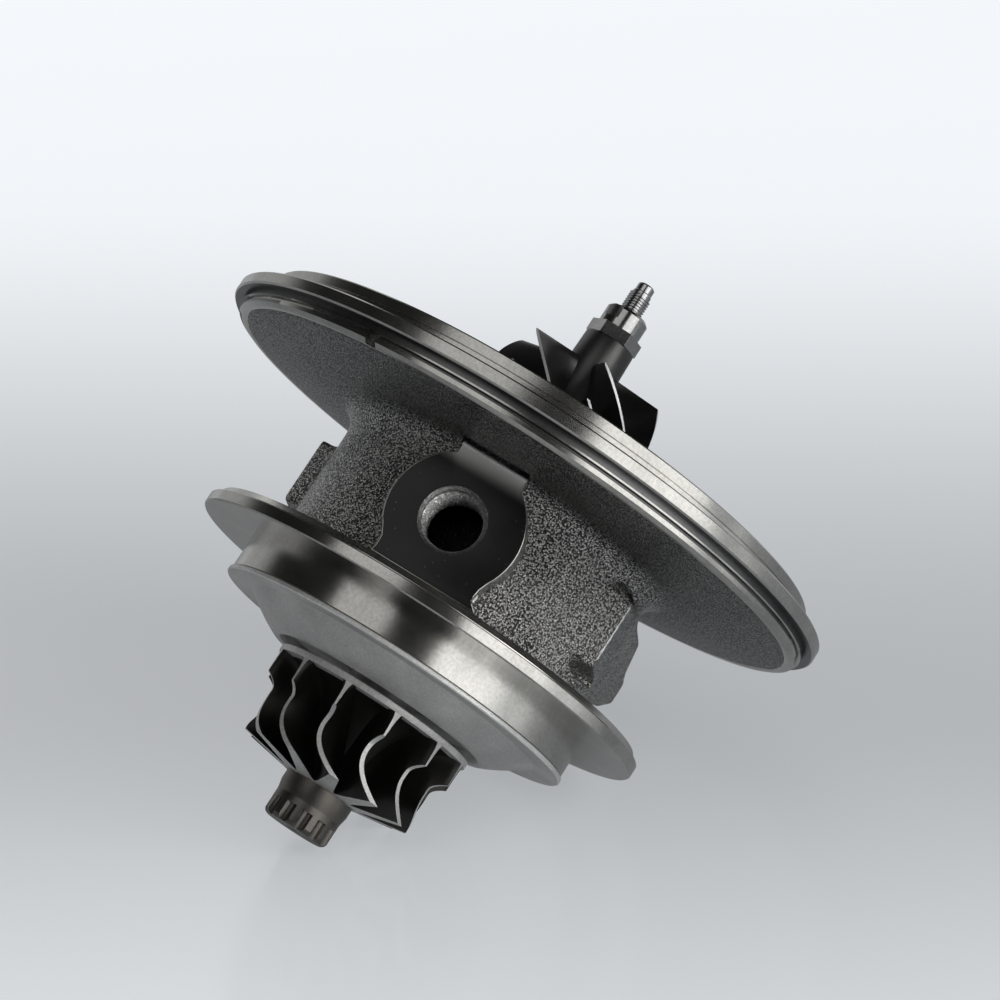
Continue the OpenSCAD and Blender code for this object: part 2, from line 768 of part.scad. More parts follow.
// One face of a blade: for each station, points from the root to the tip.
// lines holds a root point, a tip point, an angle and the blade's lean for each station.
function blade_face(lines, root_t, tip_t, side) = [for (i = [0:len(lines) - 1], j = [0:blade_rows])
    let(line = lines[i], share = j / blade_rows, p = mix(sunk(line[0], line[1]), line[1], share),
        ease = i == 0 ? edge_share : 1)
    on_shaft(p, line[2] + side * ease * half_angle(mix(root_t, tip_t, share), p[0], line[3]))];

module blade(lines, root_t, tip_t) {
    across = blade_rows + 1;
    last = (len(lines) - 1) * across;
    half = len(lines) * across;
    function quad(a, b, c, d) = [[a, c, b], [a, d, c]];
    polyhedron(
        points = concat(blade_face(lines, root_t, tip_t, -1), blade_face(lines, root_t, tip_t, 1)),
        faces = concat(
            [for (i = [0:across:last - 1], j = [i:i + blade_rows - 1])
                each quad(j, j + across, j + across + 1, j + 1)],
            [for (i = [0:across:last - 1], j = [i:i + blade_rows - 1])
                each quad(half + j, half + j + 1, half + j + across + 1, half + j + across)],
            [for (i = [0:across:last - 1]) each quad(i, half + i, half + i + across, i + across)],
            [for (i = [0:across:last - 1], j = [i + blade_rows])
                each quad(j, j + across, half + j + across, half + j)],
            [for (j = [0:blade_rows - 1]) each quad(j, j + 1, half + j + 1, half + j)],
            [for (j = [last:last + blade_rows - 1]) each quad(j, half + j, half + j + 1, j + 1)]
        )
    );
}

// Turbine wheel: s runs from the blades' inlet edge to their outlet edge
function tw_hub_point(s) = let(rim_r = tw_d / 2 - edge_step, end_r = tw_hub_d / 2)
    [end_r + (rim_r - end_r) * (1 - sin(90 * s)), tw_front_x - tw_hub_len * (1 - cos(90 * s))];
function tw_tip_point(s) = let(run = (tw_blade_len - tw_inlet_w) * s, left = max(0, 1 - run / tw_corner))
    [mix(tw_exit_d, tw_d, left * left) / 2 - edge_step, tw_front_x - tw_inlet_w - run];
function tw_angle(s) = tw_exit_turn * s * s * s - tw_back_lean * s;
function tw_blade_lean(s) = atan((3 * tw_exit_turn * s * s - tw_back_lean) * PI / 180
    * tw_exit_d / 2 / (tw_blade_len - tw_inlet_w));
tw_lines = [for (i = [0:blade_stations]) let(s = i / blade_stations)
    [tw_hub_point(s), tw_tip_point(s), tw_angle(s), tw_blade_lean(s)]];

module turbine_wheel() {
    tw_r = tw_d / 2;
    boss_r = seal_hub_d / 2;
    nose_r = nose_d / 2;
    groove_w = nose_d * PI / nose_grooves / 2;
    color("darkolivegreen") difference() {
        union() {
            turned() polygon(concat(
                [[0, weld_x], [boss_r - ch, weld_x], [boss_r, tw_back_x + ch], [boss_r + weld_h, tw_back_x],
                    [tw_r - edge_step, tw_back_x], [tw_r, tw_back_x - edge_step],
                    [tw_r, tw_front_x + edge_step]],
                [for (i = [0:hub_steps]) tw_hub_point(i / hub_steps)],
                [[tw_hub_d / 2, neck_x + neck_len / 2], [nose_r, neck_x], [nose_r, nose_x + nose_ch],
                    [nose_r - nose_ch, nose_x], [0, nose_x]]
            ));
            for (k = [0:tw_blades - 1]) rotate([tw_first_angle + k * 360 / tw_blades, 0, 0])
                blade(tw_lines, tw_root_t, tw_tip_t);
        }
        for (k = [0:nose_grooves - 1])
            round_shaft((k + 0.5) * 360 / nose_grooves, nose_r - nose_groove_deep, nose_x + nose_ch)
                translate([0, 0, -groove_w / 2])
                    cube([nose_len - 2 * nose_ch, nose_groove_deep + cut, groove_w]);
        translate([nose_x - cut, 0, 0]) along_shaft() cylinder(d = centre_d, h = 2 * cut);
    }
}

module shaft() {
    hub_r = seal_hub_d / 2;
    journal_r = journal_d / 2;
    spindle_r = spindle_d / 2;
    thread_r = thread_d / 2;
    dog_r = thread_r - dog_in;
    ring_x0 = housing_end_x + seal_len / 2 - seat_play;
    ring_x1 = ring_x0 + seal_ring_w + 2 * seat_play;
    hub_in_x = chamber_x + chamber_len / 4;
    thread_x = cw_nose_x - thread_back;
    color("silver") turned() polygon([
        [0, weld_x],
        [hub_r - ch, weld_x],
        [hub_r, weld_x + ch],
        [hub_r, ring_x0],
        [hub_r - seal_ring_deep, ring_x0],
        [hub_r - seal_ring_deep, ring_x1],
        [hub_r, ring_x1],
        [hub_r, hub_in_x - ch],
        [hub_r - ch, hub_in_x],
        [journal_r + journal_relief, hub_in_x],
        [journal_r, hub_in_x + journal_relief],
        [journal_r, tb_in_x + clip_t],
        [journal_r - journal_relief, tb_in_x + clip_t + journal_relief],
        [journal_r - journal_relief, cb_in_x - journal_relief],
        [journal_r, cb_in_x],
        [journal_r, shoulder_x - ch],
        [journal_r - ch, shoulder_x],
        [spindle_r, shoulder_x],
        [spindle_r, thread_x - ch],
        [thread_r, thread_x],
        [thread_r, stub_x - dog_len - ch],
        [dog_r, stub_x - dog_len],
        [dog_r, stub_x - ch],
        [dog_r - ch, stub_x],
        [0, stub_x]
    ]);
}

module thrust_collar() {
    bore_r = spindle_d / 2 + seat_play / 2;
    disc_r = disc_d / 2;
    disc_x = shoulder_x + disc_t;
    spacer_x = thrust_front_x + thrust_play;
    color("lightgray") turned() polygon([
        [bore_r, shoulder_x],
        [disc_r - ch, shoulder_x],
        [disc_r, shoulder_x + ch],
        [disc_r, disc_x],
        [spacer_d / 2, disc_x],
        [spacer_d / 2, spacer_x],
        [bore_r, spacer_x]
    ]);
}

// Sleeve from the thrust bearing to the compressor wheel, with a slinger and a seal ring's groove
module oil_flinger() {
    bore_r = spindle_d / 2 + seat_play / 2;
    sleeve_r = sleeve_d / 2;
    disc_x = thrust_front_x + thrust_play;
    sling_x = plate_seat_x - baffle_t - sling_back;
    ring_x0 = sleeve_ring_x - seat_play;
    ring_x1 = sleeve_ring_x + seal_ring_w + seat_play;
    color("lightgray") turned() polygon([
        [bore_r, disc_x],
        [disc_d / 2, disc_x],
        [disc_d / 2, disc_x + disc_t],
        [sleeve_r, disc_x + disc_t],
        [sleeve_r, sling_x - sling_t],
        [sling_d / 2, sling_x],
        [sling_d / 2, sling_x + sling_t / 2],
        [sleeve_r, sling_x + sling_t / 2],
        [sleeve_r, ring_x0],
        [sleeve_r - seal_ring_deep, ring_x0],
        [sleeve_r - seal_ring_deep, ring_x1],
        [sleeve_r, ring_x1],
        [sleeve_r, cw_back_x],
        [bore_r, cw_back_x]
    ]);
}

// Compressor wheel: s runs from the blades' inlet edge to their outlet edge
function rise(u) = mix(1 - sqrt(1 - u * u), u, cw_taper_share);
function cw_hub_point(s) = let(hub_r = cw_hub_d / 2, rim_r = cw_d / 2 - edge_step)
    [hub_r + (rim_r - hub_r) * (1 - cos(90 * s)), mix(cw_hub_x, cw_front_x, sin(90 * s))];
function cw_tip_point(s) = let(u = sin(90 * s), rim_r = cw_d / 2 - edge_step)
    [mix(cw_inlet_d / 2, rim_r, rise(u)), mix(cw_tip_x, cw_front_x + cw_outlet_w, u)];
function cw_angle(s) = cw_turn * (1 - pow(1 - sin(90 * s), 1.5)) + cw_sweep * pow(s, 4);
function cw_lines(start) = [for (i = [0:blade_stations]) let(s = mix(start, 1, i / blade_stations))
    [cw_hub_point(s), cw_tip_point(s), cw_angle(s), mix(cw_turn, cw_sweep, s)]];

module compressor_wheel() {
    cw_r = cw_d / 2;
    hub_r = cw_hub_d / 2;
    bore_r = spindle_d / 2 + seat_play / 2;
    pitch = 360 / cw_blades;
    color("slategray") {
        turned() polygon(concat(
            [[bore_r, cw_back_x], [cw_r - edge_step, cw_back_x], [cw_r, cw_back_x + edge_step],
                [cw_r, cw_front_x - edge_step]],
            [for (i = [hub_steps:-1:0]) cw_hub_point(i / hub_steps)],
            [[hub_r - ch / 2, cw_nose_x - ch], [hub_r - ch, cw_nose_x], [bore_r, cw_nose_x]]
        ));
        for (k = [0:cw_blades - 1]) rotate([cw_first_angle + k * pitch, 0, 0]) {
            blade(cw_lines(0), cw_root_t, cw_tip_t);
            rotate([pitch / 2, 0, 0]) blade(cw_lines(cw_splitter_share), cw_root_t, cw_tip_t);
        }
    }
}

module shaft_nut() {
    collar_r = collar_d / 2;
    color("gray") difference() {
        union() {
            translate([cw_nose_x, 0, 0]) along_shaft() rotate([0, 0, nut_turn])
                cylinder(d = nut_af / cos(30), h = nut_hex_h, $fn = 6);
            turned() polygon([[0, cw_nose_x], [collar_r, cw_nose_x], [collar_r, nut_end_x - collar_ch],
                [collar_r - collar_ch, nut_end_x], [0, nut_end_x]]);
        }
        ring(thread_d + seat_play, 0, cw_nose_x - cut, nut_end_x + cut);
    }
}

bearing_housing();
heat_shield();
turbine_seal_ring();
turbine_bearing();
turbine_bearing_outer_clip();
turbine_bearing_inner_clip();
compressor_bearing();
compressor_bearing_inner_clip();
compressor_bearing_outer_clip();
thrust_bearing();
thrust_bearing_screws();
oil_baffle();
seal_plate();
seal_plate_o_ring();
seal_plate_circlip();
compressor_seal_ring();
turbine_wheel();
shaft();
thrust_collar();
oil_flinger();
compressor_wheel();
shaft_nut();
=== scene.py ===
# Turbo cartridge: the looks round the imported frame. Lengths are in millimetres until a mesh is finished.
import bpy
import bmesh
import math
from mathutils import Matrix, Vector


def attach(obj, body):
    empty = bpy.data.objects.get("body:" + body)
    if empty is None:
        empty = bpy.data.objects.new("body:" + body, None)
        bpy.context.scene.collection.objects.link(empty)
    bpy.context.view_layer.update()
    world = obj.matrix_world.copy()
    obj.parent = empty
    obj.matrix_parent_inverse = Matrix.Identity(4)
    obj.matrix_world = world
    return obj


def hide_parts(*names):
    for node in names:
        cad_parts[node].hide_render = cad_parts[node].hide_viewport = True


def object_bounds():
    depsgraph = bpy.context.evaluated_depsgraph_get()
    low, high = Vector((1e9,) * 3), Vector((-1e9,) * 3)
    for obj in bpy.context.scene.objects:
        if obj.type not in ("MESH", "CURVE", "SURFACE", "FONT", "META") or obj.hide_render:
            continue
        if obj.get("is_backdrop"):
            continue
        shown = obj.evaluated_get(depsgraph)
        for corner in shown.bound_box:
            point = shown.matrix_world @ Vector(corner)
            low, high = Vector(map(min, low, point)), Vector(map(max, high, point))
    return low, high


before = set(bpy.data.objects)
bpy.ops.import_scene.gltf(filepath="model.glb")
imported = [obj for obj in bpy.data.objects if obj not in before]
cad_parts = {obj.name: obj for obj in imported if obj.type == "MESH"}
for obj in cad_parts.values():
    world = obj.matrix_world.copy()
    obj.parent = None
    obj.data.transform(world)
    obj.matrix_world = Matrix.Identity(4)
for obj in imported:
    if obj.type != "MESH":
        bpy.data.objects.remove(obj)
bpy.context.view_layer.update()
mm = 0.001
fullTurn = 2 * math.pi
print("frame loaded:", len(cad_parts), "nodes")

# Studio: camera at the photograph's place, pale floor, soft lights
studio = {
    "cameraPlace": (-134.0, -127.8, 697.3),
    "cameraRight": (0.53777, -0.84103, -0.05886),
    "cameraUp": (0.82480, 0.51036, 0.24338),
    "lens": 126.6,
    "sensor": 36.0,
    "floorUp": (0.699, 0.406, 0.588),
    "floorDrop": 66.45,       # from the frame's origin to the floor
    "floorRadius": 2600.0,
    "floorRough": 0.16,
    "floorColour": (0.41, 0.43, 0.45),
    "floorGlow": (0.93, 0.965, 1.0),
    "floorGlows": (0.62, 0.36, 0.80),     # near the camera, under the part and far behind it
    "floorFall": (-0.17, 0.03),
    "floorRise": (0.02, 0.42),
    "floorInGloss": 0.31,     # what is left of it in reflections
    "paper": (0.74, 0.77, 0.785),
    "dark": 0.016,
    "sweep": 0.40,            # the paper behind, up to its upper edge
    "sweepEdge": (0.25, 0.45),
    "lampAim": (-0.02, 0, 0),
    "lamps": [
        ("rightBox", (0.60, -0.04, 0.67), (0.80, 0.80), 3.0),
        ("leftBox", (-0.24, 0.50, 0.68), (0.72, 0.50), 0.74),
        ("backBox", (-0.35, 0.9, -0.55), (0.7, 0.7), 1.0),
        ("topBox", (0.86, 0.24, 0.46), (0.50, 0.50), 1.6),
        ("frontBox", (-0.16, -0.62, 0.66), (0.44, 0.44), 1.7),
    ],
}


class Wire:
    # a socket in a material's tree: sums on it add Math nodes
    def __init__(self, shader, socket):
        self.shader = shader
        self.socket = socket

    def maths(self, operation, *values, clamp=False):
        return self.shader.node("ShaderNodeMath", {"operation": operation, "use_clamp": clamp}, list(values))

    def __add__(self, other):
        return self.maths("ADD", self, other)

    def __radd__(self, other):
        return self.maths("ADD", other, self)

    def __sub__(self, other):
        return self.maths("SUBTRACT", self, other)

    def __rsub__(self, other):
        return self.maths("SUBTRACT", other, self)

    def __mul__(self, other):
        return self.maths("MULTIPLY", self, other)

    def __rmul__(self, other):
        return self.maths("MULTIPLY", other, self)

    def __pow__(self, other):
        return self.maths("POWER", self, other)

    def clamped(self):
        return self.maths("ADD", self, 0.0, clamp=True)

    def step(self, low, high):
        # 0 below low, 1 above high, smooth between
        settings = {"interpolation_type": "SMOOTHSTEP"}
        inputs = {"Value": self, "From Min": low, "From Max": high}
        return self.shader.node("ShaderNodeMapRange", settings, inputs)


class Tree:
    # the nodes of a material or of the world; node() adds any node, its settings first and then its inputs
    def __init__(self, owner):
        owner.use_nodes = True
        self.tree = owner.node_tree

    def link(self, value, socket):
        if isinstance(value, Wire):
            self.tree.links.new(value.socket, socket)
        else:
            socket.default_value = value

    def node(self, kind, settings=None, inputs=None, out=0):
        made = self.tree.nodes.new(kind)
        for key, value in (settings or {}).items():
            if key == "stops":
                self.ramp(made, value)
            else:
                setattr(made, key, value)
        pairs = inputs.items() if isinstance(inputs, dict) else enumerate(inputs or [])
        for key, value in pairs:
            self.link(value, made.inputs[key])
        return made if out is None else Wire(self, made.outputs[out])

    def ramp(self, made, stops):
        elements = made.color_ramp.elements
        while len(elements) < len(stops):
            elements.new(1.0)
        for element, (place, colour) in zip(elements, stops):
            element.position = place
            element.color = (*colour, 1.0)

    def dot(self, vector, axis):
        inputs = [vector, tuple(axis)]
        return self.node("ShaderNodeVectorMath", {"operation": "DOT_PRODUCT"}, inputs, out="Value")

    def mix(self, factor, low, high):
        settings = {"data_type": "RGBA"}
        made = self.node("ShaderNodeMix", settings, {}, out=None)
        self.link(factor, made.inputs["Factor"])
        for key, value in (("A", low), ("B", high)):
            sockets = [s for s in made.inputs if s.name == key and s.type == "RGBA"]
            self.link(value if isinstance(value, Wire) else (*value, 1.0), sockets[0])
        return Wire(self, [s for s in made.outputs if s.type == "RGBA"][0])


class Shader(Tree):
    # one material round its own principled surface
    def __init__(self, name, metallic=0.0, roughness=0.5, colour=(0.5, 0.5, 0.5)):
        self.material = bpy.data.materials.new(name)
        super().__init__(self.material)
        self.surface = self.tree.nodes["Principled BSDF"]
        self.set("Base Color", (*colour, 1.0))
        self.set("Metallic", metallic)
        self.set("Roughness", roughness)
        self.place = self.node("ShaderNodeTexCoord", out="Object")
        split = self.node("ShaderNodeSeparateXYZ", {}, [self.place], out=None)
        self.x, self.y, self.z = [Wire(self, socket) for socket in split.outputs]

    def set(self, name, value):
        self.link(value, self.surface.inputs[name])

    def noise(self, perMm, detail=3.0, rough=0.5, vector=None):
        # scale in grains per millimetre
        inputs = {"Vector": vector or self.place, "Scale": perMm / mm, "Detail": detail, "Roughness": rough}
        return self.node("ShaderNodeTexNoise", {}, inputs, out="Fac")

    def cells(self, perMm):
        inputs = {"Vector": self.place, "Scale": perMm / mm}
        return self.node("ShaderNodeTexVoronoi", {}, inputs, out="Distance")

    def radius(self, centreX=None):
        # distance from the shaft axis, or from an upright axis at a station on it
        if centreX is None:
            return (self.y * self.y + self.z * self.z) ** 0.5
        away = self.x - centreX * mm
        return (away * away + self.y * self.y) ** 0.5

    def lines(self, along, perMm, detail=2.0):
        # fine lines that change with one value only
        at = self.node("ShaderNodeCombineXYZ", {}, [along, 0.0, 0.0])
        return self.noise(perMm, detail, 0.6, at)

    def bump(self, height, depth):
        # depth is the height's real size in millimetres
        return self.node("ShaderNodeBump", {}, {"Strength": 1.0, "Distance": depth * mm, "Height": height})


def castSkin():
    # dark sand-cast iron: a coarse grain whose crests are rubbed bright and catch the light
    s = Shader("castIron", metallic=1.0, roughness=0.34)
    coarse = s.noise(2.4, 3.0, 0.75)
    dots = 1.0 - s.cells(2.4)
    broad = s.noise(0.07, 3.0)
    grain = coarse * 0.55 + dots * 0.45
    underFlangeShade = s.x.step(-0.0105, -0.0080)      # painted shade: the cast skin is darker under the compressor flange's back
    tone = (grain.step(0.44, 0.64) * 0.88 + broad.step(0.3, 0.7) * 0.12) * (1.0 - 0.55 * underFlangeShade)
    s.set("Base Color", s.mix(tone.clamped(), (0.046, 0.046, 0.046), (0.99, 0.98, 0.94)))
    s.set("Roughness", 0.36 - 0.14 * grain.step(0.4, 0.68) + 0.08 * (broad - 0.5))
    s.set("Normal", s.bump(grain, 0.50))
    return s.material


def turnedSteel(name, light, rough, axial=None, metallic=1.0):
    # lathe-turned steel: fine rings round the shaft and faint stains
    s = Shader(name, metallic=metallic, roughness=rough)
    radius = s.radius(axial)
    rings = s.lines(radius, 9.0) + s.lines(s.x if axial is None else s.z, 9.0)
    stain = s.noise(0.09, 4.0, 0.6)
    speck = s.noise(1.6, 2.0)
    tone = (0.55 * stain.step(0.35, 0.65) + 0.45 * speck.step(0.3, 0.7)).clamped()
    s.set("Base Color", s.mix(tone, tuple(c * 0.72 for c in light), light))
    s.set("Roughness", rough + 0.10 * (stain - 0.5) + 0.12 * (rings * 0.5 - 0.5))
    s.set("Normal", s.bump(rings, 0.006))
    return s.material


def milledFace():
    # the inlet boss's face: nearly black, with arcs round its own centre
    s = Shader("milledFace", metallic=0.85, roughness=0.34)
    radius = s.radius(-23.3)
    rings = s.lines(radius, 5.0, 3.0)
    stain = s.noise(0.12, 4.0, 0.6)
    dust = s.cells(0.55)
    spots = 1.0 - dust.step(0.05, 0.11)
    tone = (0.5 * stain + 0.35 * rings).clamped()
    base = s.mix(tone, (0.022, 0.022, 0.022), (0.056, 0.056, 0.057))
    tongueSheen = s.x.step(-0.0140, -0.0088) * s.z.step(0.0370, 0.0375)      # painted reflection: paler and less metallic towards the tongue's end
    base = s.mix(tongueSheen, base, (0.90, 0.90, 0.86))
    s.set("Metallic", 0.85 - 0.55 * tongueSheen)
    s.set("Base Color", s.mix(spots * 0.4, base, (0.20, 0.20, 0.20)))
    s.set("Roughness", 0.34 + 0.2 * (rings - 0.5) + 0.1 * (stain - 0.5))
    s.set("Normal", s.bump(rings, 0.015))
    return s.material


def shieldSheet():
    # pressed stainless sheet: satin grey, with drawn marks and small scratches
    s = Shader("shieldSheet", metallic=0.75, roughness=0.42)
    radius = s.radius()
    rings = s.lines(radius, 3.0, 3.0)
    cloud = s.noise(0.05, 4.0, 0.6)
    speck = s.noise(2.4, 2.0)
    tone = (0.5 * cloud.step(0.3, 0.7) + 0.3 * speck.step(0.3, 0.7) + 0.2 * rings).clamped()
    s.set("Base Color", s.mix(tone, (0.41, 0.40, 0.39), (0.80, 0.785, 0.76)))
    s.set("Roughness", 0.36 + 0.14 * (cloud - 0.5) + 0.08 * (speck - 0.5))
    s.set("Normal", s.bump(speck * 0.6 + rings * 0.4, 0.008))
    return s.material


def castAlloy(name, dark, light, rough, metallic=0.9):
    # investment-cast wheel: fine matt grain between the two colours given; its copies carry painted light
    # and shade, lighter at the turbine's neck than between its blades, and near black on the aluminium
    # compressor wheel
    s = Shader(name, metallic=metallic, roughness=rough)
    cloud = s.noise(0.12, 4.0, 0.6)
    grain = s.noise(4.0, 2.0)
    tone = (0.6 * cloud + 0.4 * grain).clamped()
    s.set("Base Color", s.mix(tone, dark, light))
    s.set("Roughness", rough + 0.16 * (cloud - 0.5) + 0.1 * (grain - 0.5))
    s.set("Normal", s.bump(grain, 0.012))
    return s.material


def threadSkin():
    # tapped hole: worn threads at its mouth, painted shade turning it black further down
    s = Shader("tappedSteel", metallic=1.0, roughness=0.3)
    depthShade = s.z.step(0.0240, 0.0345)
    speck = s.noise(2.2, 3.0, 0.7).step(0.42, 0.6)
    s.set("Base Color", s.mix(depthShade * (0.45 + 0.55 * speck), (0.012, 0.012, 0.012), (0.80, 0.80, 0.78)))
    s.set("Roughness", 0.42 - 0.16 * speck)
    s.set("Normal", s.bump(speck, 0.03))
    return s.material


def rubberSkin():
    s = Shader("rubber", metallic=0.0, roughness=0.6, colour=(0.015, 0.015, 0.016))
    s.set("Normal", s.bump(s.noise(2.0), 0.01))
    s.set("Roughness", 0.6 + 0.1 * (s.noise(0.8) - 0.5))
    return s.material


finish = {
    "cast": castSkin(),
    "turned": turnedSteel("turnedSteel", (0.62, 0.61, 0.575), 0.19),
    "bored": turnedSteel("boredSteel", (0.30, 0.30, 0.29), 0.34, -23.3),
    "milled": milledFace(),
    "tapped": threadSkin(),
    # near-white edge finishes: rubbed edges with a painted highlight in their colour
    "wornSheen": turnedSteel("wornSheenEdge", (0.99, 0.99, 0.97), 0.55, metallic=0.8),
    "rubbedSheen": turnedSteel("rubbedSheenRim", (0.99, 0.99, 0.97), 0.55, metallic=0.8),
    "shield": shieldSheet(),
    "turbine": castAlloy("turbineAlloy", (0.030, 0.029, 0.027), (0.075, 0.072, 0.067), 0.42),
    # a lighter copy of the turbine alloy for the neck: painted light
    "turbineHub": castAlloy("turbineHub", (0.09, 0.084, 0.075), (0.24, 0.225, 0.20), 0.38),
    "turbineNose": castAlloy("turbineNose", (0.07, 0.066, 0.060), (0.20, 0.19, 0.17), 0.34),
    "turbineEdge": turnedSteel("turbineEdge", (0.99, 0.98, 0.96), 0.62),
    # a near-black copy for the aluminium wheel: painted shade
    "compressor": castAlloy("compressorAlloy", (0.060, 0.060, 0.059), (0.11, 0.11, 0.108), 0.36),
    "compressorEdge": turnedSteel("compressorEdge", (0.99, 0.99, 0.99), 0.62),
    "nut": turnedSteel("nutSteel", (0.50, 0.50, 0.49), 0.15),
    "shaft": turnedSteel("shaftSteel", (0.60, 0.60, 0.60), 0.2),
    "clip": turnedSteel("springSteel", (0.20, 0.20, 0.20), 0.35),
    "bronze": turnedSteel("bronze", (0.72, 0.50, 0.24), 0.3),
    "plate": turnedSteel("plateSteel", (0.48, 0.48, 0.48), 0.3),
    "rubber": rubberSkin(),
}
print("materials:", len(finish))


def linked(name, mesh, *finishes):
    obj = bpy.data.objects.new(name, mesh)
    bpy.context.scene.collection.objects.link(obj)
    for item in finishes:
        mesh.materials.append(finish[item])
    return obj


def smoothFaces(bm, sharp):
    # smooth shading that stops at open edges and at those sharper than the angle in degrees
    limit = math.radians(sharp)
    for face in bm.faces:
        face.smooth = True
    for edge in bm.edges:
        edge.smooth = len(edge.link_faces) == 2 and edge.calc_face_angle(math.pi) < limit


def finished(bm, name, *finishes, sharp=30.0, merge=0.004):
    # closes the mesh, turns its faces outwards, marks its sharp edges and brings it to metres
    bmesh.ops.remove_doubles(bm, verts=bm.verts, dist=merge)
    bmesh.ops.recalc_face_normals(bm, faces=bm.faces)
    smoothFaces(bm, sharp)
    bmesh.ops.scale(bm, vec=(mm, mm, mm), verts=bm.verts)
    mesh = bpy.data.meshes.new(name)
    bm.to_mesh(mesh)
    bm.free()
    return linked(name, mesh, *finishes)


def lathe(bm, profile, steps, closed=True):
    # spins a profile of (x, radius) round the shaft axis
    verts = [bm.verts.new((x, 0.0, r)) for x, r in profile]
    ends = verts[1:] + (verts[:1] if closed else [])
    edges = [bm.edges.new(pair) for pair in zip(verts, ends)]
    bmesh.ops.spin(bm, geom=verts + edges, cent=(0, 0, 0), axis=(1, 0, 0), dvec=(0, 0, 0),
        angle=fullTurn, steps=steps, use_merge=True, use_duplicate=False)


def bevelled(obj, width, segments, angle):
    modifier = obj.modifiers.new("edges", "BEVEL")
    modifier.width = width * mm
    modifier.segments = segments
    modifier.limit_method = "ANGLE"
    modifier.angle_limit = math.radians(angle)
    modifier.harden_normals = False
    modifier.use_clamp_overlap = True
    return obj


def baked(obj):
    # applies the modifiers to the mesh
    graph = bpy.context.evaluated_depsgraph_get()
    mesh = bpy.data.meshes.new_from_object(obj.evaluated_get(graph), depsgraph=graph)
    obj.modifiers.clear()
    obj.data = mesh
    return obj


def markEdges(obj, sharp):
    bm = bmesh.new()
    bm.from_mesh(obj.data)
    smoothFaces(bm, sharp)
    bm.to_mesh(obj.data)
    bm.free()
    return obj


def carve(obj, cutter, operation="DIFFERENCE"):
    # a boolean whose new faces keep the cutter's finish
    modifier = obj.modifiers.new("carve", "BOOLEAN")
    modifier.operation = operation
    modifier.solver = "EXACT"
    modifier.object = cutter
    modifier.material_mode = "TRANSFER"
    baked(obj)
    bpy.data.objects.remove(cutter)
    return obj


def kept(obj, body, *nodes, slot=None):
    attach(obj, body)
    if nodes:
        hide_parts(*nodes)
    return obj


def mixed(p, q, share):
    return p + (q - p) * share


def arc(centreX, centreR, radius, start, end, steps):
    # points (x, radius) on an arc, angles in degrees from +x towards +radius
    return [(centreX + radius * math.cos(math.radians(a)), centreR + radius * math.sin(math.radians(a)))
        for a in (start + (end - start) * i / steps for i in range(steps + 1))]


# Casting: rough primitives melted into one skin, softened, then carved where the real one is machined
casting = {
    "inletX": -23.3,
    "bossRadius": 13.7,       # as cast, under the machined boss
    "bossFoot": 15.4,
    "bossTop": 37.4,
    "bossFootTop": 34.5,
    "bossFootLow": 27.0,
    "bodyRadius": 35.1,
    "underX": -7.0,           # edge of the cast skin under the compressor flange
    "castX": -8.4,
    "castRim": 66.85,
    "backRim": 65.9,
    "stepX": -38.2,
    "rootFillet": 6.0,
    "flangeFillet": 3.0,
    "tongue": (-8.0, 6.6),
    "tongueEnd": -9.4,
    "pocket": [(-13.0, -8.4, 37.6), (-7.6, 7.0, 41.2)],
    "pocketFloor": [(-8.75, -8.4, 35.7), (-7.6, 7.0, 38.0)],
    "hollows": [((-13.7, -33.6, 16.6), (1.5, 3.4, 8.6)), ((-31.6, -35.0, 13.0), (1.5, 4.2, 10.5))],
    "lugs": [
        {"side": -1, "face": 35.5, "top": 16.0, "crown": 24.0, "inset": 24.8,
            "edge": [(8.3, 24.0), (9.4, 0.0), (9.4, -27.0), (3.8, -33.6), (2.5, -40.8), (-3.1, -40.8),
                (-7.1, -26.0), (-9.2, -13.0), (-9.6, 4.0), (-7.7, 13.4), (-5.6, 24.0)]},
        {"side": 1, "face": 39.5, "top": 0.6, "crown": 8.6, "inset": 27.6,
            "edge": [(4.4, 8.6), (5.2, 6.6), (6.5, 1.0), (7.7, -12.0), (7.7, -27.0), (3.8, -33.6),
                (2.5, -40.8), (-3.1, -40.8), (-7.1, -26.0), (-8.8, -8.0), (-8.2, 1.0), (-6.9, 6.6),
                (-6.2, 8.6)]},
    ],
    "padTop": -24.0,
    "padLow": -40.2,
    "hubRadius": 13.2,
    "earRadius": 9.2,
    "earPlace": 24.0,
    "voxel": 0.8,
    "softening": 6,
}


def cuboid(bm, low, high):
    made = bmesh.ops.create_cube(bm, size=1.0)["verts"]
    low, high = Vector(low), Vector(high)
    bmesh.ops.scale(bm, vec=high - low, verts=made)
    bmesh.ops.translate(bm, vec=(low + high) / 2, verts=made)
    return made


def upright(bm, radiusLow, radiusHigh, x, y, low, high, segments=96):
    # a cylinder or a cone along Z
    made = bmesh.ops.create_cone(bm, cap_ends=True, segments=segments, radius1=radiusLow, radius2=radiusHigh,
        depth=high - low)["verts"]
    bmesh.ops.translate(bm, vec=(x, y, (low + high) / 2), verts=made)
    return made


def extruded(bm, outline, along):
    # a flat outline of 3-D points pushed along a vector
    face = bm.faces.new([bm.verts.new(point) for point in outline])
    out = bmesh.ops.extrude_face_region(bm, geom=[face])["geom"]
    bmesh.ops.translate(bm, vec=along, verts=[v for v in out if isinstance(v, bmesh.types.BMVert)])


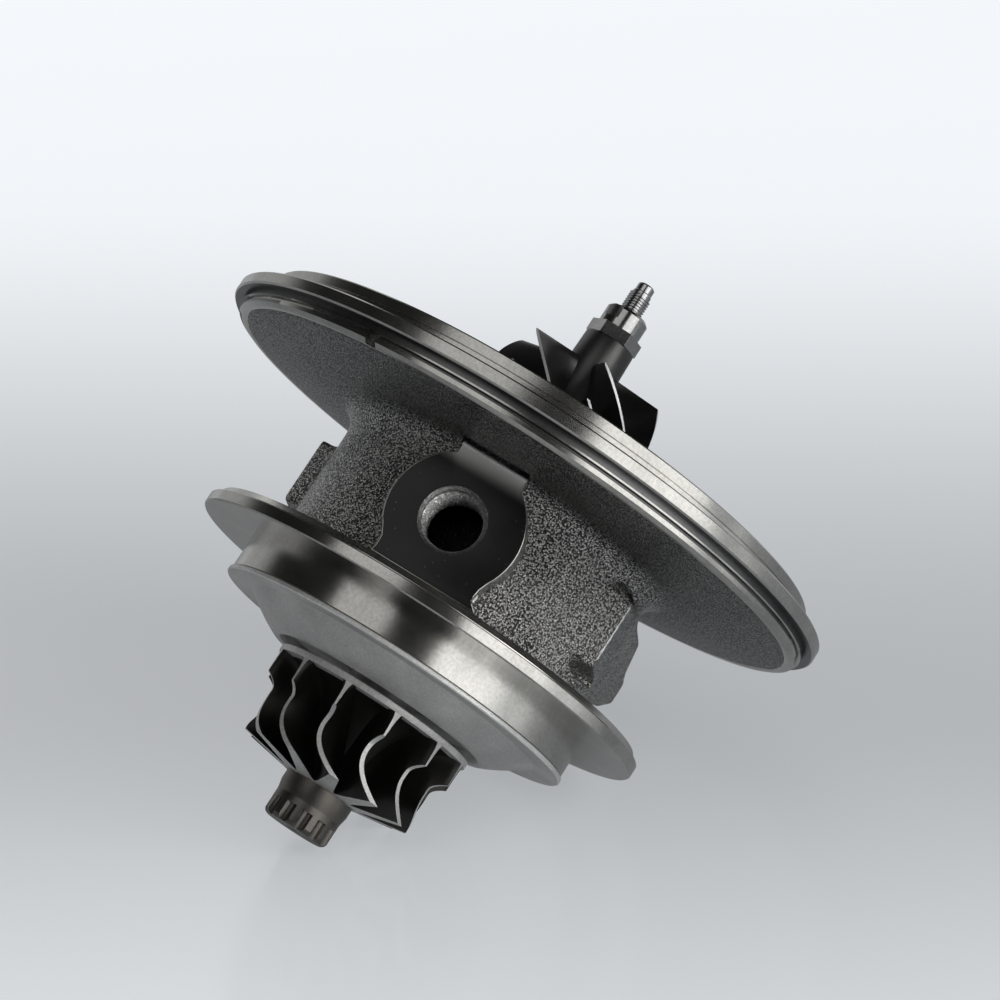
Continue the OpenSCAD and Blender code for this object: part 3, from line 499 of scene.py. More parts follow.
def sideLug(lug, x):
    # a flat-faced side, sloped down at the top to its outer face
    bm = bmesh.new()
    side, face = lug["side"], lug["face"]
    extruded(bm, [(x + dx, 0, z) for dx, z in lug["edge"]], (0, side * face, 0))
    bmesh.ops.recalc_face_normals(bm, faces=bm.faces)
    normal = Vector((0, side * (lug["crown"] - lug["top"]), face - lug["inset"])).normalized()
    geom = bm.verts[:] + bm.edges[:] + bm.faces[:]
    cut = bmesh.ops.bisect_plane(bm, geom=geom, plane_co=(0, side * face, lug["top"]), plane_no=normal,
        clear_outer=True, dist=0.0001)["geom_cut"]
    bmesh.ops.edgeloop_fill(bm, edges=[e for e in cut if isinstance(e, bmesh.types.BMEdge)])
    return finished(bm, "sideLug", "cast")


def wornSheenEdge(line, radius, name):
    # a thin irregular bead along a rubbed edge, coloured near white as a painted highlight
    bm = bmesh.new()
    rings = []
    for i, (x, y, z) in enumerate(line):
        size = radius * (1.0 + 0.35 * math.sin(i * 1.7) * math.cos(i * 0.6))
        if i in (0, len(line) - 1):
            size *= 0.3
        rings.append([bm.verts.new((x, y + size * math.cos(a), z + size * math.sin(a)))
            for a in (fullTurn * k / 8 for k in range(8))])
    for ring, following in zip(rings, rings[1:]):
        for k in range(8):
            bm.faces.new((ring[k], ring[(k + 1) % 8], following[(k + 1) % 8], following[k]))
    bm.faces.new(rings[0])
    bm.faces.new(rings[-1])
    return finished(bm, name, "wornSheen", sharp=60.0)


def padOutline(hub, ear, place, x, z, steps=14):
    # the drain pad's outline: a round hub between two round ears
    points = []
    for side in (1, -1):
        for i in range(steps + 1):
            angle = math.radians(-10 + 200 * i / steps)
            points.append((x + side * ear * math.cos(angle), side * (place + ear * math.sin(angle)), z))
        points.append((x - side * hub, 0, z))
    return points


# The compressor flange is thinner below: its back was cast on a slight slope
slope = {"middle": -5.56, "up": 1.31, "sideways": -0.44, "radius": 65.7}


def flangeBack(y, z):
    return slope["middle"] - (slope["up"] * z + slope["sideways"] * y) / slope["radius"]


def castBlanks(h):
    x = h["inletX"]
    body, fillet, small = h["bodyRadius"], h["rootFillet"], h["flangeFillet"]
    profile = [(-3.2, 0.0), (-3.2, h["backRim"] - 1.0), (-3.8, h["backRim"] - 0.2)]
    profile.append((h["underX"], h["castRim"]))
    profile += arc(h["castX"] - fillet, body + fillet, fillet, 0, -90, 8)
    profile += arc(h["stepX"] + small, body + small, small, -90, -180, 5)
    profile += [(-39.3, 41.0), (-39.3, 0.0)]
    bm = bmesh.new()
    lathe(bm, profile, 128, closed=False)
    for vert in bm.verts:
        away = math.hypot(vert.co.y, vert.co.z)
        if away > h["castRim"] - 1 and vert.co.x < h["underX"] + 0.1:
            share = h["backRim"] / away
            vert.co = (flangeBack(vert.co.y, vert.co.z), vert.co.y * share, vert.co.z * share)
    made = [finished(bm, "castBody", "cast")]
    bm = bmesh.new()
    upright(bm, h["bossRadius"], h["bossRadius"], x, 0, 10.0, h["bossTop"])
    made.append(finished(bm, "castBoss", "cast"))
    bm = bmesh.new()
    upright(bm, h["bossFoot"] + 1.4, h["bossRadius"] - 0.3, x, 0, h["bossFootLow"], h["bossFootTop"])
    made.append(finished(bm, "castFoot", "cast"))
    bm = bmesh.new()
    cuboid(bm, (x, h["tongue"][0], 10.0), (h["tongueEnd"], h["tongue"][1], h["bossTop"]))
    made.append(finished(bm, "castTongue", "cast"))
    made += [sideLug(lug, x) for lug in h["lugs"]]
    bm = bmesh.new()
    outline = padOutline(h["hubRadius"], h["earRadius"], h["earPlace"], x, h["padLow"])
    extruded(bm, outline, (0, 0, h["padTop"] - h["padLow"]))
    made.append(finished(bm, "castPad", "cast"))
    return made


def joined(objects, name):
    # one object of several, with the first one's finishes
    bm = bmesh.new()
    for obj in objects:
        bm.from_mesh(obj.data)
    mesh = bpy.data.meshes.new(name)
    bm.to_mesh(mesh)
    bm.free()
    made = bpy.data.objects.new(name, mesh)
    bpy.context.scene.collection.objects.link(made)
    for material in objects[0].data.materials:
        mesh.materials.append(material)
    for obj in objects:
        bpy.data.objects.remove(obj)
    return made


# Everything that is bored along the shaft, a little wider than the bearings' seats
bores = {
    "line": [(4.9, 0.0), (4.9, 30.2), (-4.9, 30.2), (-4.9, 20.5), (-13.7, 20.5), (-13.7, 9.4), (-16.3, 9.4),
        (-16.3, 7.4), (-44.6, 7.4), (-44.6, 10.6), (-47.4, 10.6), (-47.4, 8.3), (-56.0, 8.3), (-56.0, 0.0)],
    "sumpLow": -23.4,
    "sumpTop": -11.5,
    "sumpEnds": (-44.2, -18.0),
    "sumpHalf": 11.8,
    "drainRadius": 9.2,
    "inletRadius": 6.9,
    "inletFloor": 23.0,
}


def boreCutter(b, x):
    bm = bmesh.new()
    lathe(bm, b["line"], 96, closed=False)
    parts = [finished(bm, "bore", "bored")]
    bm = bmesh.new()
    low, high = b["sumpEnds"]
    cuboid(bm, (low, -b["sumpHalf"], b["sumpLow"]), (high, b["sumpHalf"], b["sumpTop"]))
    parts.append(finished(bm, "sump", "bored"))
    bm = bmesh.new()
    upright(bm, b["drainRadius"], b["drainRadius"], x, 0, -50.0, b["sumpLow"] + 1.0)
    parts.append(finished(bm, "drain", "bored"))
    bm = bmesh.new()
    upright(bm, b["inletRadius"], b["inletRadius"], x, 0, b["inletFloor"], 50.0)
    parts.append(finished(bm, "inlet", "tapped"))
    return parts


def melted(obj, size, rounds, hollows):
    voxels = obj.modifiers.new("melt", "REMESH")
    voxels.mode = "VOXEL"
    voxels.voxel_size = size * mm
    voxels.use_smooth_shade = True
    baked(obj)
    for place, radii in hollows:
        bm = bmesh.new()
        made = bmesh.ops.create_icosphere(bm, subdivisions=4, radius=1.0)["verts"]
        bmesh.ops.scale(bm, vec=radii, verts=made)
        bmesh.ops.translate(bm, vec=place, verts=made)
        carve(obj, finished(bm, "hollowCutter", "cast"))
    soften = obj.modifiers.new("soften", "SMOOTH")
    soften.factor = 0.5
    soften.iterations = rounds
    return baked(obj)


skin = joined(castBlanks(casting), "castSkinPiece")
skin = melted(skin, casting["voxel"], casting["softening"], casting["hollows"])
for box in (casting["pocket"], casting["pocketFloor"]):
    bm = bmesh.new()
    cuboid(bm, *box)
    carve(skin, finished(bm, "pocketCutter", "cast"))
for cutter in boreCutter(bores, casting["inletX"]):
    carve(skin, cutter)
markEdges(skin, 50.0)
kept(skin, "core", "bearing_housing", slot="housing")
# a near-white bead along the lug's rounded top edge: a painted highlight
lugLine = [(mixed(-15.6, -28.6, i / 30), -35.15 + 0.05 * math.sin(i * 2.3), 15.72 + 0.06 * math.sin(i * 1.3))
    for i in range(31)]
kept(wornSheenEdge(lugLine, 0.34, "lugEdge"), "core", "bearing_housing", slot="housing")
print("cast skin:", len(skin.data.polygons), "faces")


# Machined inlet boss with its tongue, threaded hole and countersink
inlet = {
    "x": -23.3,
    "y": -0.35,               # the boss was cast a little to one side of its hole
    "top": 38.0,
    "low": 29.0,
    "radius": 14.15,
    "tongue": (-8.2, 6.8),
    "tongueEnd": -8.75,
    "bead": 0.40,
    "flare": [(-30.6, 11.6), (-33.0, 10.3), (-35.2, 10.2), (-36.6, 10.6), (-36.6, -13.6), (-35.2, -12.1),
        (-33.95, -11.7), (-32.2, -11.9), (-30.4, -12.6)],
    "threadRoot": 6.3,
    "threadCrest": 5.8,
    "countersink": 6.9,
    "pitch": 1.1,
    "floor": 24.0,
    "drill": 2.2,
    "edge": 0.26,
}


def bossOutline(p):
    # a disc with a tongue to the compressor flange and a flared foot to the turbine flange
    low, high = p["tongue"]
    start = math.degrees(math.asin((high - p["y"]) / p["radius"]))
    end = math.degrees(math.asin((low - p["y"]) / p["radius"]))
    line = [(p["tongueEnd"], low), (p["tongueEnd"], high)]
    line += arc(p["x"], p["y"], p["radius"], start, 118.0, 44)
    line += p["flare"]
    line += arc(p["x"], p["y"], p["radius"], -116.0, end, 44)
    return [(x, y, p["low"]) for x, y in line]


def drillCutter(p):
    # the hole's outline in (radius, z), turned round the inlet's own axis
    line = [(0.0, p["top"] + 1.0), (p["countersink"] + 1.0, p["top"] + 1.0), (p["countersink"], p["top"]),
        (p["threadRoot"], p["top"] - 0.7), (p["threadRoot"], p["floor"] + 1.5), (p["drill"], p["floor"]),
        (p["drill"], 8.0), (0.0, 8.0)]
    bm = bmesh.new()
    verts = [bm.verts.new((p["x"] + r, 0.0, z)) for r, z in line]
    edges = [bm.edges.new(pair) for pair in zip(verts, verts[1:])]
    bmesh.ops.spin(bm, geom=verts + edges, cent=(p["x"], 0, 0), axis=(0, 0, 1), dvec=(0, 0, 0),
        angle=fullTurn, steps=96, use_merge=True, use_duplicate=False)
    return finished(bm, "drill", "tapped")


def inletBoss(p):
    bm = bmesh.new()
    extruded(bm, bossOutline(p), (0, 0, p["top"] - p["low"]))
    boss = finished(bm, "inletBoss", "milled", "tapped", "turned", "cast")
    bevelled(boss, p["edge"], 3, 40.0).modifiers["edges"].material = 2
    baked(boss)
    bm = bmesh.new()
    bm.from_mesh(boss.data)
    for face in bm.faces:
        if face.material_index == 0 and abs(face.normal.z) < 0.5:
            face.material_index = 3
    bm.to_mesh(boss.data)
    bm.free()
    carve(boss, drillCutter(p))
    return markEdges(boss, 35.0)


def tongueBead(p):
    # the rubbed rim at the tongue's end, a bead along the pocket, coloured near white as a painted highlight
    low, high = p["tongue"]
    bm = bmesh.new()
    bend = arc(p["tongueEnd"] - p["bead"], p["top"] - 0.05, p["bead"], 0, 330, 11)
    ring = [(x, low + 0.1, z) for x, z in bend]
    extruded(bm, ring, (0, high - low - 0.2, 0))
    return finished(bm, "tongueBead", "rubbedSheen", sharp=50.0)


def helix(bm, section, axis, centre, pitch, turns, perTurn=36):
    # sweeps a closed section along a screw line
    face = bm.faces.new([bm.verts.new(point) for point in section])
    step = Vector(axis) * (pitch / perTurn)
    bmesh.ops.spin(bm, geom=[face, *face.edges, *face.verts], cent=centre, axis=axis, dvec=step,
        angle=fullTurn * turns, steps=int(perTurn * turns), use_merge=False, use_duplicate=False)


def inletThread(p):
    bm = bmesh.new()
    root, crest, pitch = p["threadRoot"], p["threadCrest"], p["pitch"]
    start = p["floor"] + 2.4
    turns = math.floor((p["top"] - 1.6 - start) / pitch)
    section = [(p["x"] + root + 0.15, 0, start - 0.46), (p["x"] + crest, 0, start - 0.08),
        (p["x"] + crest, 0, start + 0.08), (p["x"] + root + 0.15, 0, start + 0.46)]
    helix(bm, section, (0, 0, 1), (p["x"], 0, 0), pitch, turns)
    return finished(bm, "inletThread", "tapped", sharp=40.0, merge=0.0001)


kept(inletBoss(inlet), "core", "bearing_housing", slot="housing")
kept(inletThread(inlet), "core", "bearing_housing", slot="housing")
kept(tongueBead(inlet), "core", "bearing_housing", slot="housing")
# a near-white bead along the boss flare's edge: a painted highlight
flareLine = [(mixed(-35.3, -33.2, i / 6), -12.0 + 0.1 * math.sin(i), 37.9) for i in range(7)]
kept(wornSheenEdge(flareLine, 0.42, "flareEdge"), "core", "bearing_housing", slot="housing")
print("inlet boss done")


# Compressor flange: spigot, lip and shoulder, turned as one; the fine line is where the cutter stopped
flange = {
    "line": [(4.5, 29.52), (4.5, 63.8), (4.2, 64.1), (2.3, 64.1), (2.18, 63.95), (2.05, 64.1), (0.5, 64.1),
        (0.12, 64.05), (0.0, 64.3), (0.0, 69.7), (-0.3, 70.0), (-2.4, 70.0), (-2.75, 69.65), (-2.75, 67.3),
        (-4.05, 67.3), (-4.2, 67.95), (-4.55, 67.95), (-4.75, 67.0), (-5.05, 67.0), (-5.2, 67.3),
        (-6.1, 67.3), (-6.8, 66.4), (-6.9, 66.1), (-6.9, 65.4), (-4.0, 60.0), (-4.0, 38.0), (-4.0, 29.52),
        (1.9, 29.52), (1.9, 31.0), (3.45, 31.0), (3.45, 29.52)],
    "lipBack": -2.75,
    "slopeFrom": 62.0,        # the radius where the sloped back begins
    "grooves": [(-5.1, -4.6), (-4.1, -2.6)],
    "grooveRadii": (66.8, 69.5),
    "notchAngle": 65.5,
    "notchHalf": 1.3,
    "notch": (-7.15, -3.8),
    "notchRadii": (65.8, 72.0),
    "steps": 288,
}


def turnedFlange(p):
    bm = bmesh.new()
    lathe(bm, p["line"], p["steps"])
    for vert in bm.verts:
        away = math.hypot(vert.co.y, vert.co.z)
        if vert.co.x < p["lipBack"] and away > p["slopeFrom"]:
            thickest = flangeBack(0, slope["radius"]) - p["lipBack"]
            share = (flangeBack(vert.co.y, vert.co.z) - p["lipBack"]) / thickest
            vert.co.x = p["lipBack"] + (vert.co.x - p["lipBack"]) * share
    # groove faces take the dark clip steel: painted shade in the grooves
    for face in bm.faces:
        centre = face.calc_center_median()
        away = math.hypot(centre.y, centre.z)
        shadedGroove = any(low < centre.x < high for low, high in p["grooves"])
        face.material_index = int(shadedGroove and p["grooveRadii"][0] < away < p["grooveRadii"][1])
    obj = finished(bm, "compressorFlange", "turned", "clip", sharp=22.0)
    bm = bmesh.new()
    (low, high), (floor, over) = p["notch"], p["notchRadii"]
    cuboid(bm, (low, floor, -p["notchHalf"]), (high, over, p["notchHalf"]))
    turn = Matrix.Rotation(math.radians(p["notchAngle"]), 4, "X")
    bmesh.ops.transform(bm, matrix=turn, verts=bm.verts)
    carve(obj, finished(bm, "notchCutter", "turned"))
    return markEdges(obj, 22.0)


kept(turnedFlange(flange), "core", "bearing_housing", slot="housing")

# Turbine flange: dark turned step, bright rim, and the ring that carries the shield
hotFlange = {
    "line": [(-38.2, 34.0), (-38.2, 49.5), (-39.45, 50.4), (-39.7, 50.45), (-39.7, 51.1), (-39.9, 51.3),
        (-42.0, 51.3), (-42.3, 51.0), (-42.3, 39.45), (-49.85, 39.45), (-50.2, 39.1), (-50.2, 33.5),
        (-46.0, 33.5), (-46.0, 12.2), (-53.5, 12.2), (-53.5, 8.15), (-45.0, 8.15), (-44.0, 11.0),
        (-40.0, 30.0)],
    "steps": 288,
}
bm = bmesh.new()
lathe(bm, hotFlange["line"], hotFlange["steps"])
turbineFlange = finished(bm, "turbineFlange", "turned", "milled", sharp=22.0)
kept(markEdges(turbineFlange, 22.0), "core", "bearing_housing", slot="housing")
print("flanges done")


# Machined drain pad under the body: gasket face, drain hole and two threaded bolt holes
drain = {"x": -23.3, "face": -41.0, "depth": 6.0, "hub": 13.5, "ear": 9.5, "place": 24.0, "hole": 9.0,
    "bolt": 3.4, "below": -42.0, "boltDepth": 15.0, "holeDepth": 12.0, "mouthDepth": 5.0, "edge": 0.25}


def drainPad(p):
    bm = bmesh.new()
    outline = padOutline(p["hub"], p["ear"], p["place"], p["x"], p["face"])
    extruded(bm, outline, (0, 0, p["depth"]))
    pad = finished(bm, "drainPad", "plate", "bored", "turned")
    mouth = (p["bolt"], p["mouthDepth"])
    for y, (radius, depth) in ((0, (p["hole"], p["holeDepth"])), (p["place"], mouth), (-p["place"], mouth)):
        bm = bmesh.new()
        upright(bm, radius, radius, p["x"], y, p["below"], p["face"] + depth)
        carve(pad, finished(bm, "padHole", "bored"))
    bevelled(pad, p["edge"], 2, 40.0).modifiers["edges"].material = 2
    return markEdges(baked(pad), 35.0)


kept(drainPad(drain), "core", "bearing_housing", slot="housing")
for side in (-1, 1):
    bm = bmesh.new()
    low, high = drain["below"], drain["face"] + drain["boltDepth"]
    upright(bm, drain["bolt"], drain["bolt"], drain["x"], side * drain["place"], low, high, 48)
    carve(skin, finished(bm, "boltHole", "bored"))
markEdges(skin, 50.0)
print("drain pad done")


# Heat shield: rim, dome with a rounded crest, lip turned in at the wheel and floor behind it
shield = {
    "rim": 39.95, "foot": 33.95, "seat": -50.2, "thick": 0.9, "dome": 5.6, "lip": 23.2, "floor": -53.7,
    "hole": 9.75, "power": 1.25, "crestShare": 0.12, "crestBend": 20.0, "brightRim": 0.3, "steps": 288,
}


def shieldLine(p):
    # outer skin from the rim to the floor's hole, then the same line back one thickness further in
    crest = p["lip"] + p["thick"]
    outer = [(p["rim"] - 0.12, p["seat"] + 0.05), (p["rim"], p["seat"] - 0.2),
        (p["rim"], p["seat"] - p["thick"] + 0.25), (p["rim"] - 0.25, p["seat"] - p["thick"])]
    shares = [1 - i / 28 for i in range(29)]
    for share in shares:
        radius = crest + share * (p["foot"] - crest)
        height = (1 - share ** p["power"]) * p["dome"]
        if share < p["crestShare"]:
            height -= (p["crestShare"] - share) ** 2 * p["crestBend"]
        outer.append((radius, p["seat"] - p["thick"] - height))
    top = p["seat"] - p["thick"] - p["dome"]
    outer += [(crest - 0.35, top + 0.42), (crest - 0.62, top + 0.9), (p["lip"], top + 1.5),
        (p["lip"], p["floor"] - 1.2), (p["lip"] - 0.4, p["floor"] - 0.3), (p["lip"] - 1.2, p["floor"]),
        (p["hole"], p["floor"])]
    inner = [(p["hole"], p["floor"] + p["thick"]), (crest, p["floor"] + p["thick"]), (crest, top + 1.6)]
    for share in reversed(shares[:-2]):
        radius = crest + share * (p["foot"] - crest) - 0.35
        inner.append((max(radius, crest), p["seat"] - (1 - share ** p["power"]) * p["dome"]))
    return [(x, r) for r, x in outer + inner]


bm = bmesh.new()
lathe(bm, shieldLine(shield), shield["steps"])
# the rim's outer edge takes the near-white edge finish: a painted highlight
for face in bm.faces:
    centre = face.calc_center_median()
    face.material_index = int(math.hypot(centre.y, centre.z) > shield["rim"] - shield["brightRim"])
kept(finished(bm, "heatShieldPiece", "shield", "wornSheen", sharp=35.0), "core", "heat_shield", slot="shield")
print("shield done")


def bladeSheets(bm, places, stations, rows, edgeSlot):
    # two sheets moved to the blade's faces and joined round their edges
    loops = []
    for side in (-1, 1):
        made = bmesh.ops.create_grid(bm, x_segments=stations, y_segments=rows, size=1.0)["verts"]
        faces = {face for vert in made for face in vert.link_faces}
        rim = []
        for vert in made:
            s, share = (vert.co.x + 1) / 2, (vert.co.y + 1) / 2
            vert.co = places(s, share, side)
        for face in faces:
            rim += [edge for edge in face.edges if edge.is_boundary]
        loops += list(dict.fromkeys(rim))
        if side > 0:
            bmesh.ops.reverse_faces(bm, faces=list(faces))
    for face in bmesh.ops.bridge_loops(bm, edges=loops)["faces"]:
        face.material_index = edgeSlot


def bladePlace(hubPoint, tipPoint, turn, lean, sizes, first):
    # returns a rule from (station, share of the height, side) to a point on the blade's face
    def place(s, share, side):
        root, tip = Vector(hubPoint(s)), Vector(tipPoint(s))
        height = max((tip - root).length, 0.01)
        point = mixed(root - (tip - root) * (sizes["sunk"] / height), tip, share)
        over = max(share * (height + sizes["sunk"]) - sizes["sunk"], 0.0)
        thick = mixed(sizes["root"], sizes["tip"], share) + sizes["flare"] * math.exp(-over / sizes["reach"])
        ends = min(1.0, (s + sizes["nose"]) / sizes["noseRun"]) if s < sizes["noseRun"] else 1.0
        spread = thick * ends / math.cos(math.radians(lean(s))) / point.x / 2
        angle = math.radians(first + turn(s)) + side * spread
        return Vector((point.y, point.x * math.cos(angle), point.x * math.sin(angle)))
    return place


# Turbine wheel, with the blade rule of the frame's node
hotWheel = {
    "radius": 22.3, "back": -57.4, "front": -58.8, "inlet": 5.1, "blade": 17.1, "hub": 7.7, "hubOver": 2.1,
    "exit": 19.4, "corner": 2.8, "blades": 12, "first": 83.0, "backLean": 10.0, "exitTurn": 30.5,
    "root": 1.75, "tip": 0.9, "flare": 1.5, "reach": 0.75, "sunk": 0.7, "nose": 0.03, "noseRun": 0.06,
    "neck": -82.2, "nosePlace": -87.6, "noseRadius": 7.3, "weld": -56.2, "boss": 7.9,
    "stations": 40, "rows": 14, "neckRadius": 8.4, "neckBehind": 6.0, "rimBehind": 0.4, "rimWidth": 2.4,
}


def hotHub(s, p=hotWheel):
    rim = p["radius"] - 0.1
    return (p["hub"] + (rim - p["hub"]) * (1 - math.sin(math.pi / 2 * s)),
        p["front"] - (p["blade"] + p["hubOver"]) * (1 - math.cos(math.pi / 2 * s)))


def hotTip(s, p=hotWheel):
    run = (p["blade"] - p["inlet"]) * s
    left = max(0.0, 1 - run / p["corner"])
    return (mixed(p["exit"], p["radius"], left * left) - 0.1, p["front"] - p["inlet"] - run)


def hotTurn(s, p=hotWheel):
    return p["exitTurn"] * s ** 3 - p["backLean"] * s


def hotLean(s, p=hotWheel):
    slope = (3 * p["exitTurn"] * s * s - p["backLean"]) * math.pi / 180
    return math.degrees(math.atan(slope * p["exit"] / (p["blade"] - p["inlet"])))


def turbineWheel(p):
    bm = bmesh.new()
    line = [(p["weld"], 0.0), (p["weld"], p["boss"] - 0.35), (p["back"], p["boss"] + 0.2),
        (p["back"], p["boss"] + 1.2), (p["back"], p["radius"] - 0.2), (p["back"] - 0.15, p["radius"] - 0.03),
        (p["front"] + 0.2, p["radius"] - 0.03), (p["front"] + 0.03, p["radius"] - 0.12)]
    line += [(x, r) for r, x in (hotHub(i / 40) for i in range(41))]
    line += [(p["neck"] + 2.1, p["hub"]), (p["neck"] + 0.6, p["noseRadius"] + 0.08),
        (p["neck"], p["noseRadius"]), (p["neck"], 0.0)]
    lathe(bm, line, 192, closed=False)
    for face in bm.faces:
        centre = face.calc_center_median()
        away = math.hypot(centre.y, centre.z)
        # the neck behind the blades takes the lighter hub copy: painted light
        face.material_index = int(centre.x < p["front"] - p["neckBehind"] and away < p["neckRadius"])
        if centre.x > p["front"] - p["rimBehind"] and away > p["radius"] - p["rimWidth"]:
            face.material_index = 2
    for k in range(p["blades"]):
        rule = bladePlace(hotHub, hotTip, hotTurn, hotLean, p, p["first"] + 360 * k / p["blades"])
        bladeSheets(bm, rule, p["stations"], p["rows"], 2)
    return finished(bm, "turbineWheelPiece", "turbine", "turbineHub", "turbineEdge", sharp=38.0)


wheel = kept(turbineWheel(hotWheel), "rotor", "turbine_wheel", slot="turbine_wheel")
print("turbine wheel:", len(wheel.data.polygons), "faces")

# the balance weld, a bead coloured near white as a painted highlight
weldLine = [(-77.3, 3.4, 7.3), (-76.8, 3.3, 7.5), (-76.3, 3.1, 7.7), (-75.6, 2.8, 7.9), (-75.0, 2.5, 8.1)]
kept(wornSheenEdge(weldLine, 0.85, "balanceWeld"), "rotor", "turbine_wheel", slot="turbine_wheel")

# Castellated nose of the turbine wheel, for the spanner
noseCut = {"count": 12, "radius": 1.3, "place": 7.7, "from": -88.2, "to": -83.6, "edge": 0.16}
bm = bmesh.new()
neck, end, wide = hotWheel["neck"], hotWheel["nosePlace"], hotWheel["noseRadius"]
lathe(bm, [(neck + 0.8, 0.0), (neck + 0.8, wide - 0.6), (neck + 0.2, wide), (end + 0.9, wide),
    (end + 0.3, wide - 0.35), (end, wide - 0.9), (end, 1.5), (end + 0.9, 0.0)], 144, closed=False)
nose = finished(bm, "turbineNose", "turbineNose", "turbineEdge", sharp=38.0)
bm = bmesh.new()
for k in range(noseCut["count"]):
    angle = fullTurn * (k + 0.5) / noseCut["count"]
    made = bmesh.ops.create_cone(bm, cap_ends=True, segments=20, radius1=noseCut["radius"],
        radius2=noseCut["radius"], depth=noseCut["to"] - noseCut["from"])["verts"]
    lay = Matrix.Rotation(math.pi / 2, 4, "Y")
    shift = Matrix.Translation(((noseCut["from"] + noseCut["to"]) / 2, noseCut["place"] * math.cos(angle),
        noseCut["place"] * math.sin(angle)))
    bmesh.ops.transform(bm, matrix=shift @ lay, verts=made)
carve(nose, finished(bm, "noseCutter", "turbineNose"))
bevelled(nose, noseCut["edge"], 2, 40.0).modifiers["edges"].material = 1
kept(markEdges(baked(nose), 20.0), "rotor", "turbine_wheel", slot="turbine_wheel")


# Compressor wheel: full blades with a splitter between each two, six of each as the photograph shows
coldWheel = {
    "radius": 22.6, "back": 3.0, "front": 4.1, "hubX": 25.4, "nosePlace": 31.9, "hub": 5.8, "inlet": 17.3,
    "outlet": 3.2, "tipX": 24.0, "blades": 6, "first": 104.8, "turn": 50.0, "sweep": 14.0, "taper": 0.4,
    "splitter": 0.34, "root": 1.1, "flare": 0.9, "reach": 0.6, "tip": 0.62, "sunk": 0.6, "nose": 0.02,
    "noseRun": 0.05, "bore": 3.01, "stations": 44, "rows": 14,
}


def coldHub(s, p=coldWheel):
    angle = math.pi / 2 * s
    return (p["hub"] + (p["radius"] - 0.1 - p["hub"]) * (1 - math.cos(angle)),
        mixed(p["hubX"], p["front"], math.sin(angle)))


def coldTip(s, p=coldWheel):
    u = min(math.sin(math.pi / 2 * s), 1.0)
    rise = mixed(1 - math.sqrt(max(1 - u * u, 0.0)), u, p["taper"])
    return (mixed(p["inlet"], p["radius"] - 0.1, rise), mixed(p["tipX"], p["front"] + p["outlet"], u))


def coldTurn(s, p=coldWheel):
    return p["turn"] * (1 - (1 - min(math.sin(math.pi / 2 * s), 1.0)) ** 1.5) + p["sweep"] * s ** 4


def coldLean(s, p=coldWheel):
    return mixed(p["turn"], p["sweep"], s)


def compressorWheel(p):
    bm = bmesh.new()
    line = [(p["back"], p["bore"]), (p["back"], p["radius"] - 0.1), (p["back"] + 0.1, p["radius"]),
        (p["front"] - 0.1, p["radius"])]
    line += [(x, r) for r, x in (coldHub(1 - i / 40) for i in range(41))]
    line += [(p["nosePlace"] - 0.35, p["hub"] - 0.17), (p["nosePlace"], p["hub"] - 0.35),
        (p["nosePlace"], p["bore"])]
    lathe(bm, line, 192)
    pitch = 360 / p["blades"]
    for k in range(p["blades"]):
        for start, offset in ((0.0, 0.0), (p["splitter"], pitch / 2)):
            rule = bladePlace(coldHub, coldTip, coldTurn, coldLean, p, p["first"] + k * pitch + offset)
            late = lambda s, share, side, rule=rule, start=start: rule(mixed(start, 1.0, s), share, side)
            bladeSheets(bm, late, p["stations"], p["rows"], 1)
    return finished(bm, "compressorWheelPiece", "compressor", "compressorEdge", sharp=38.0)


kept(compressorWheel(coldWheel), "rotor", "compressor_wheel", slot="compressor_wheel")
print("compressor wheel done")


# Nut: a thin hexagon under a round collar that is ground on one side, over a threaded end
nut = {
    "x": 31.9, "hex": 2.8, "across": 10.2, "turn": 7.0, "collar": 4.7, "end": 39.3, "chamfer": 0.7,
    "bore": 2.6, "nickAngle": 57.0, "nickRadius": 3.4, "nickPlace": 7.2, "nick": (36.4, 40.0), "edge": 0.14,
}


def shaftNut(p):
    bm = bmesh.new()
    corner = p["across"] / 2 / math.cos(math.pi / 6)
    made = bmesh.ops.create_cone(bm, cap_ends=True, segments=6, radius1=corner, radius2=corner,
        depth=p["hex"])["verts"]
    lay = Matrix.Rotation(math.radians(p["turn"]), 4, "X") @ Matrix.Rotation(math.pi / 2, 4, "Y")
    bmesh.ops.transform(bm, matrix=Matrix.Translation((p["x"] + p["hex"] / 2, 0, 0)) @ lay, verts=made)
    obj = finished(bm, "shaftNutPiece", "nut")
    bm = bmesh.new()
    lathe(bm, [(p["x"], 0.0), (p["x"], p["collar"]), (p["end"] - p["chamfer"], p["collar"]),
        (p["end"], p["collar"] - p["chamfer"]), (p["end"], 0.0)], 96, closed=False)
    carve(obj, finished(bm, "collar", "nut"), "UNION")
    bm = bmesh.new()
    low, high, bore = p["x"] - 1, p["end"] + 1, p["bore"]
    lathe(bm, [(low, 0.0), (low, bore), (high, bore), (high, 0.0)], 64, closed=False)
    carve(obj, finished(bm, "nutBore", "nut"))
    bm = bmesh.new()
    low, high = p["nick"]
    made = bmesh.ops.create_cone(bm, cap_ends=True, segments=48, radius1=p["nickRadius"],
        radius2=p["nickRadius"], depth=high - low)["verts"]
    angle = math.radians(p["nickAngle"])
    place = ((low + high) / 2, p["nickPlace"] * math.cos(angle), p["nickPlace"] * math.sin(angle))
    shift = Matrix.Translation(place)
    bmesh.ops.transform(bm, matrix=shift @ Matrix.Rotation(math.pi / 2, 4, "Y"), verts=made)
    carve(obj, finished(bm, "nick", "clip"))
    bevelled(obj, p["edge"], 2, 30.0)
    return markEdges(baked(obj), 12.0)


kept(shaftNut(nut), "rotor", "shaft_nut", slot="nut")

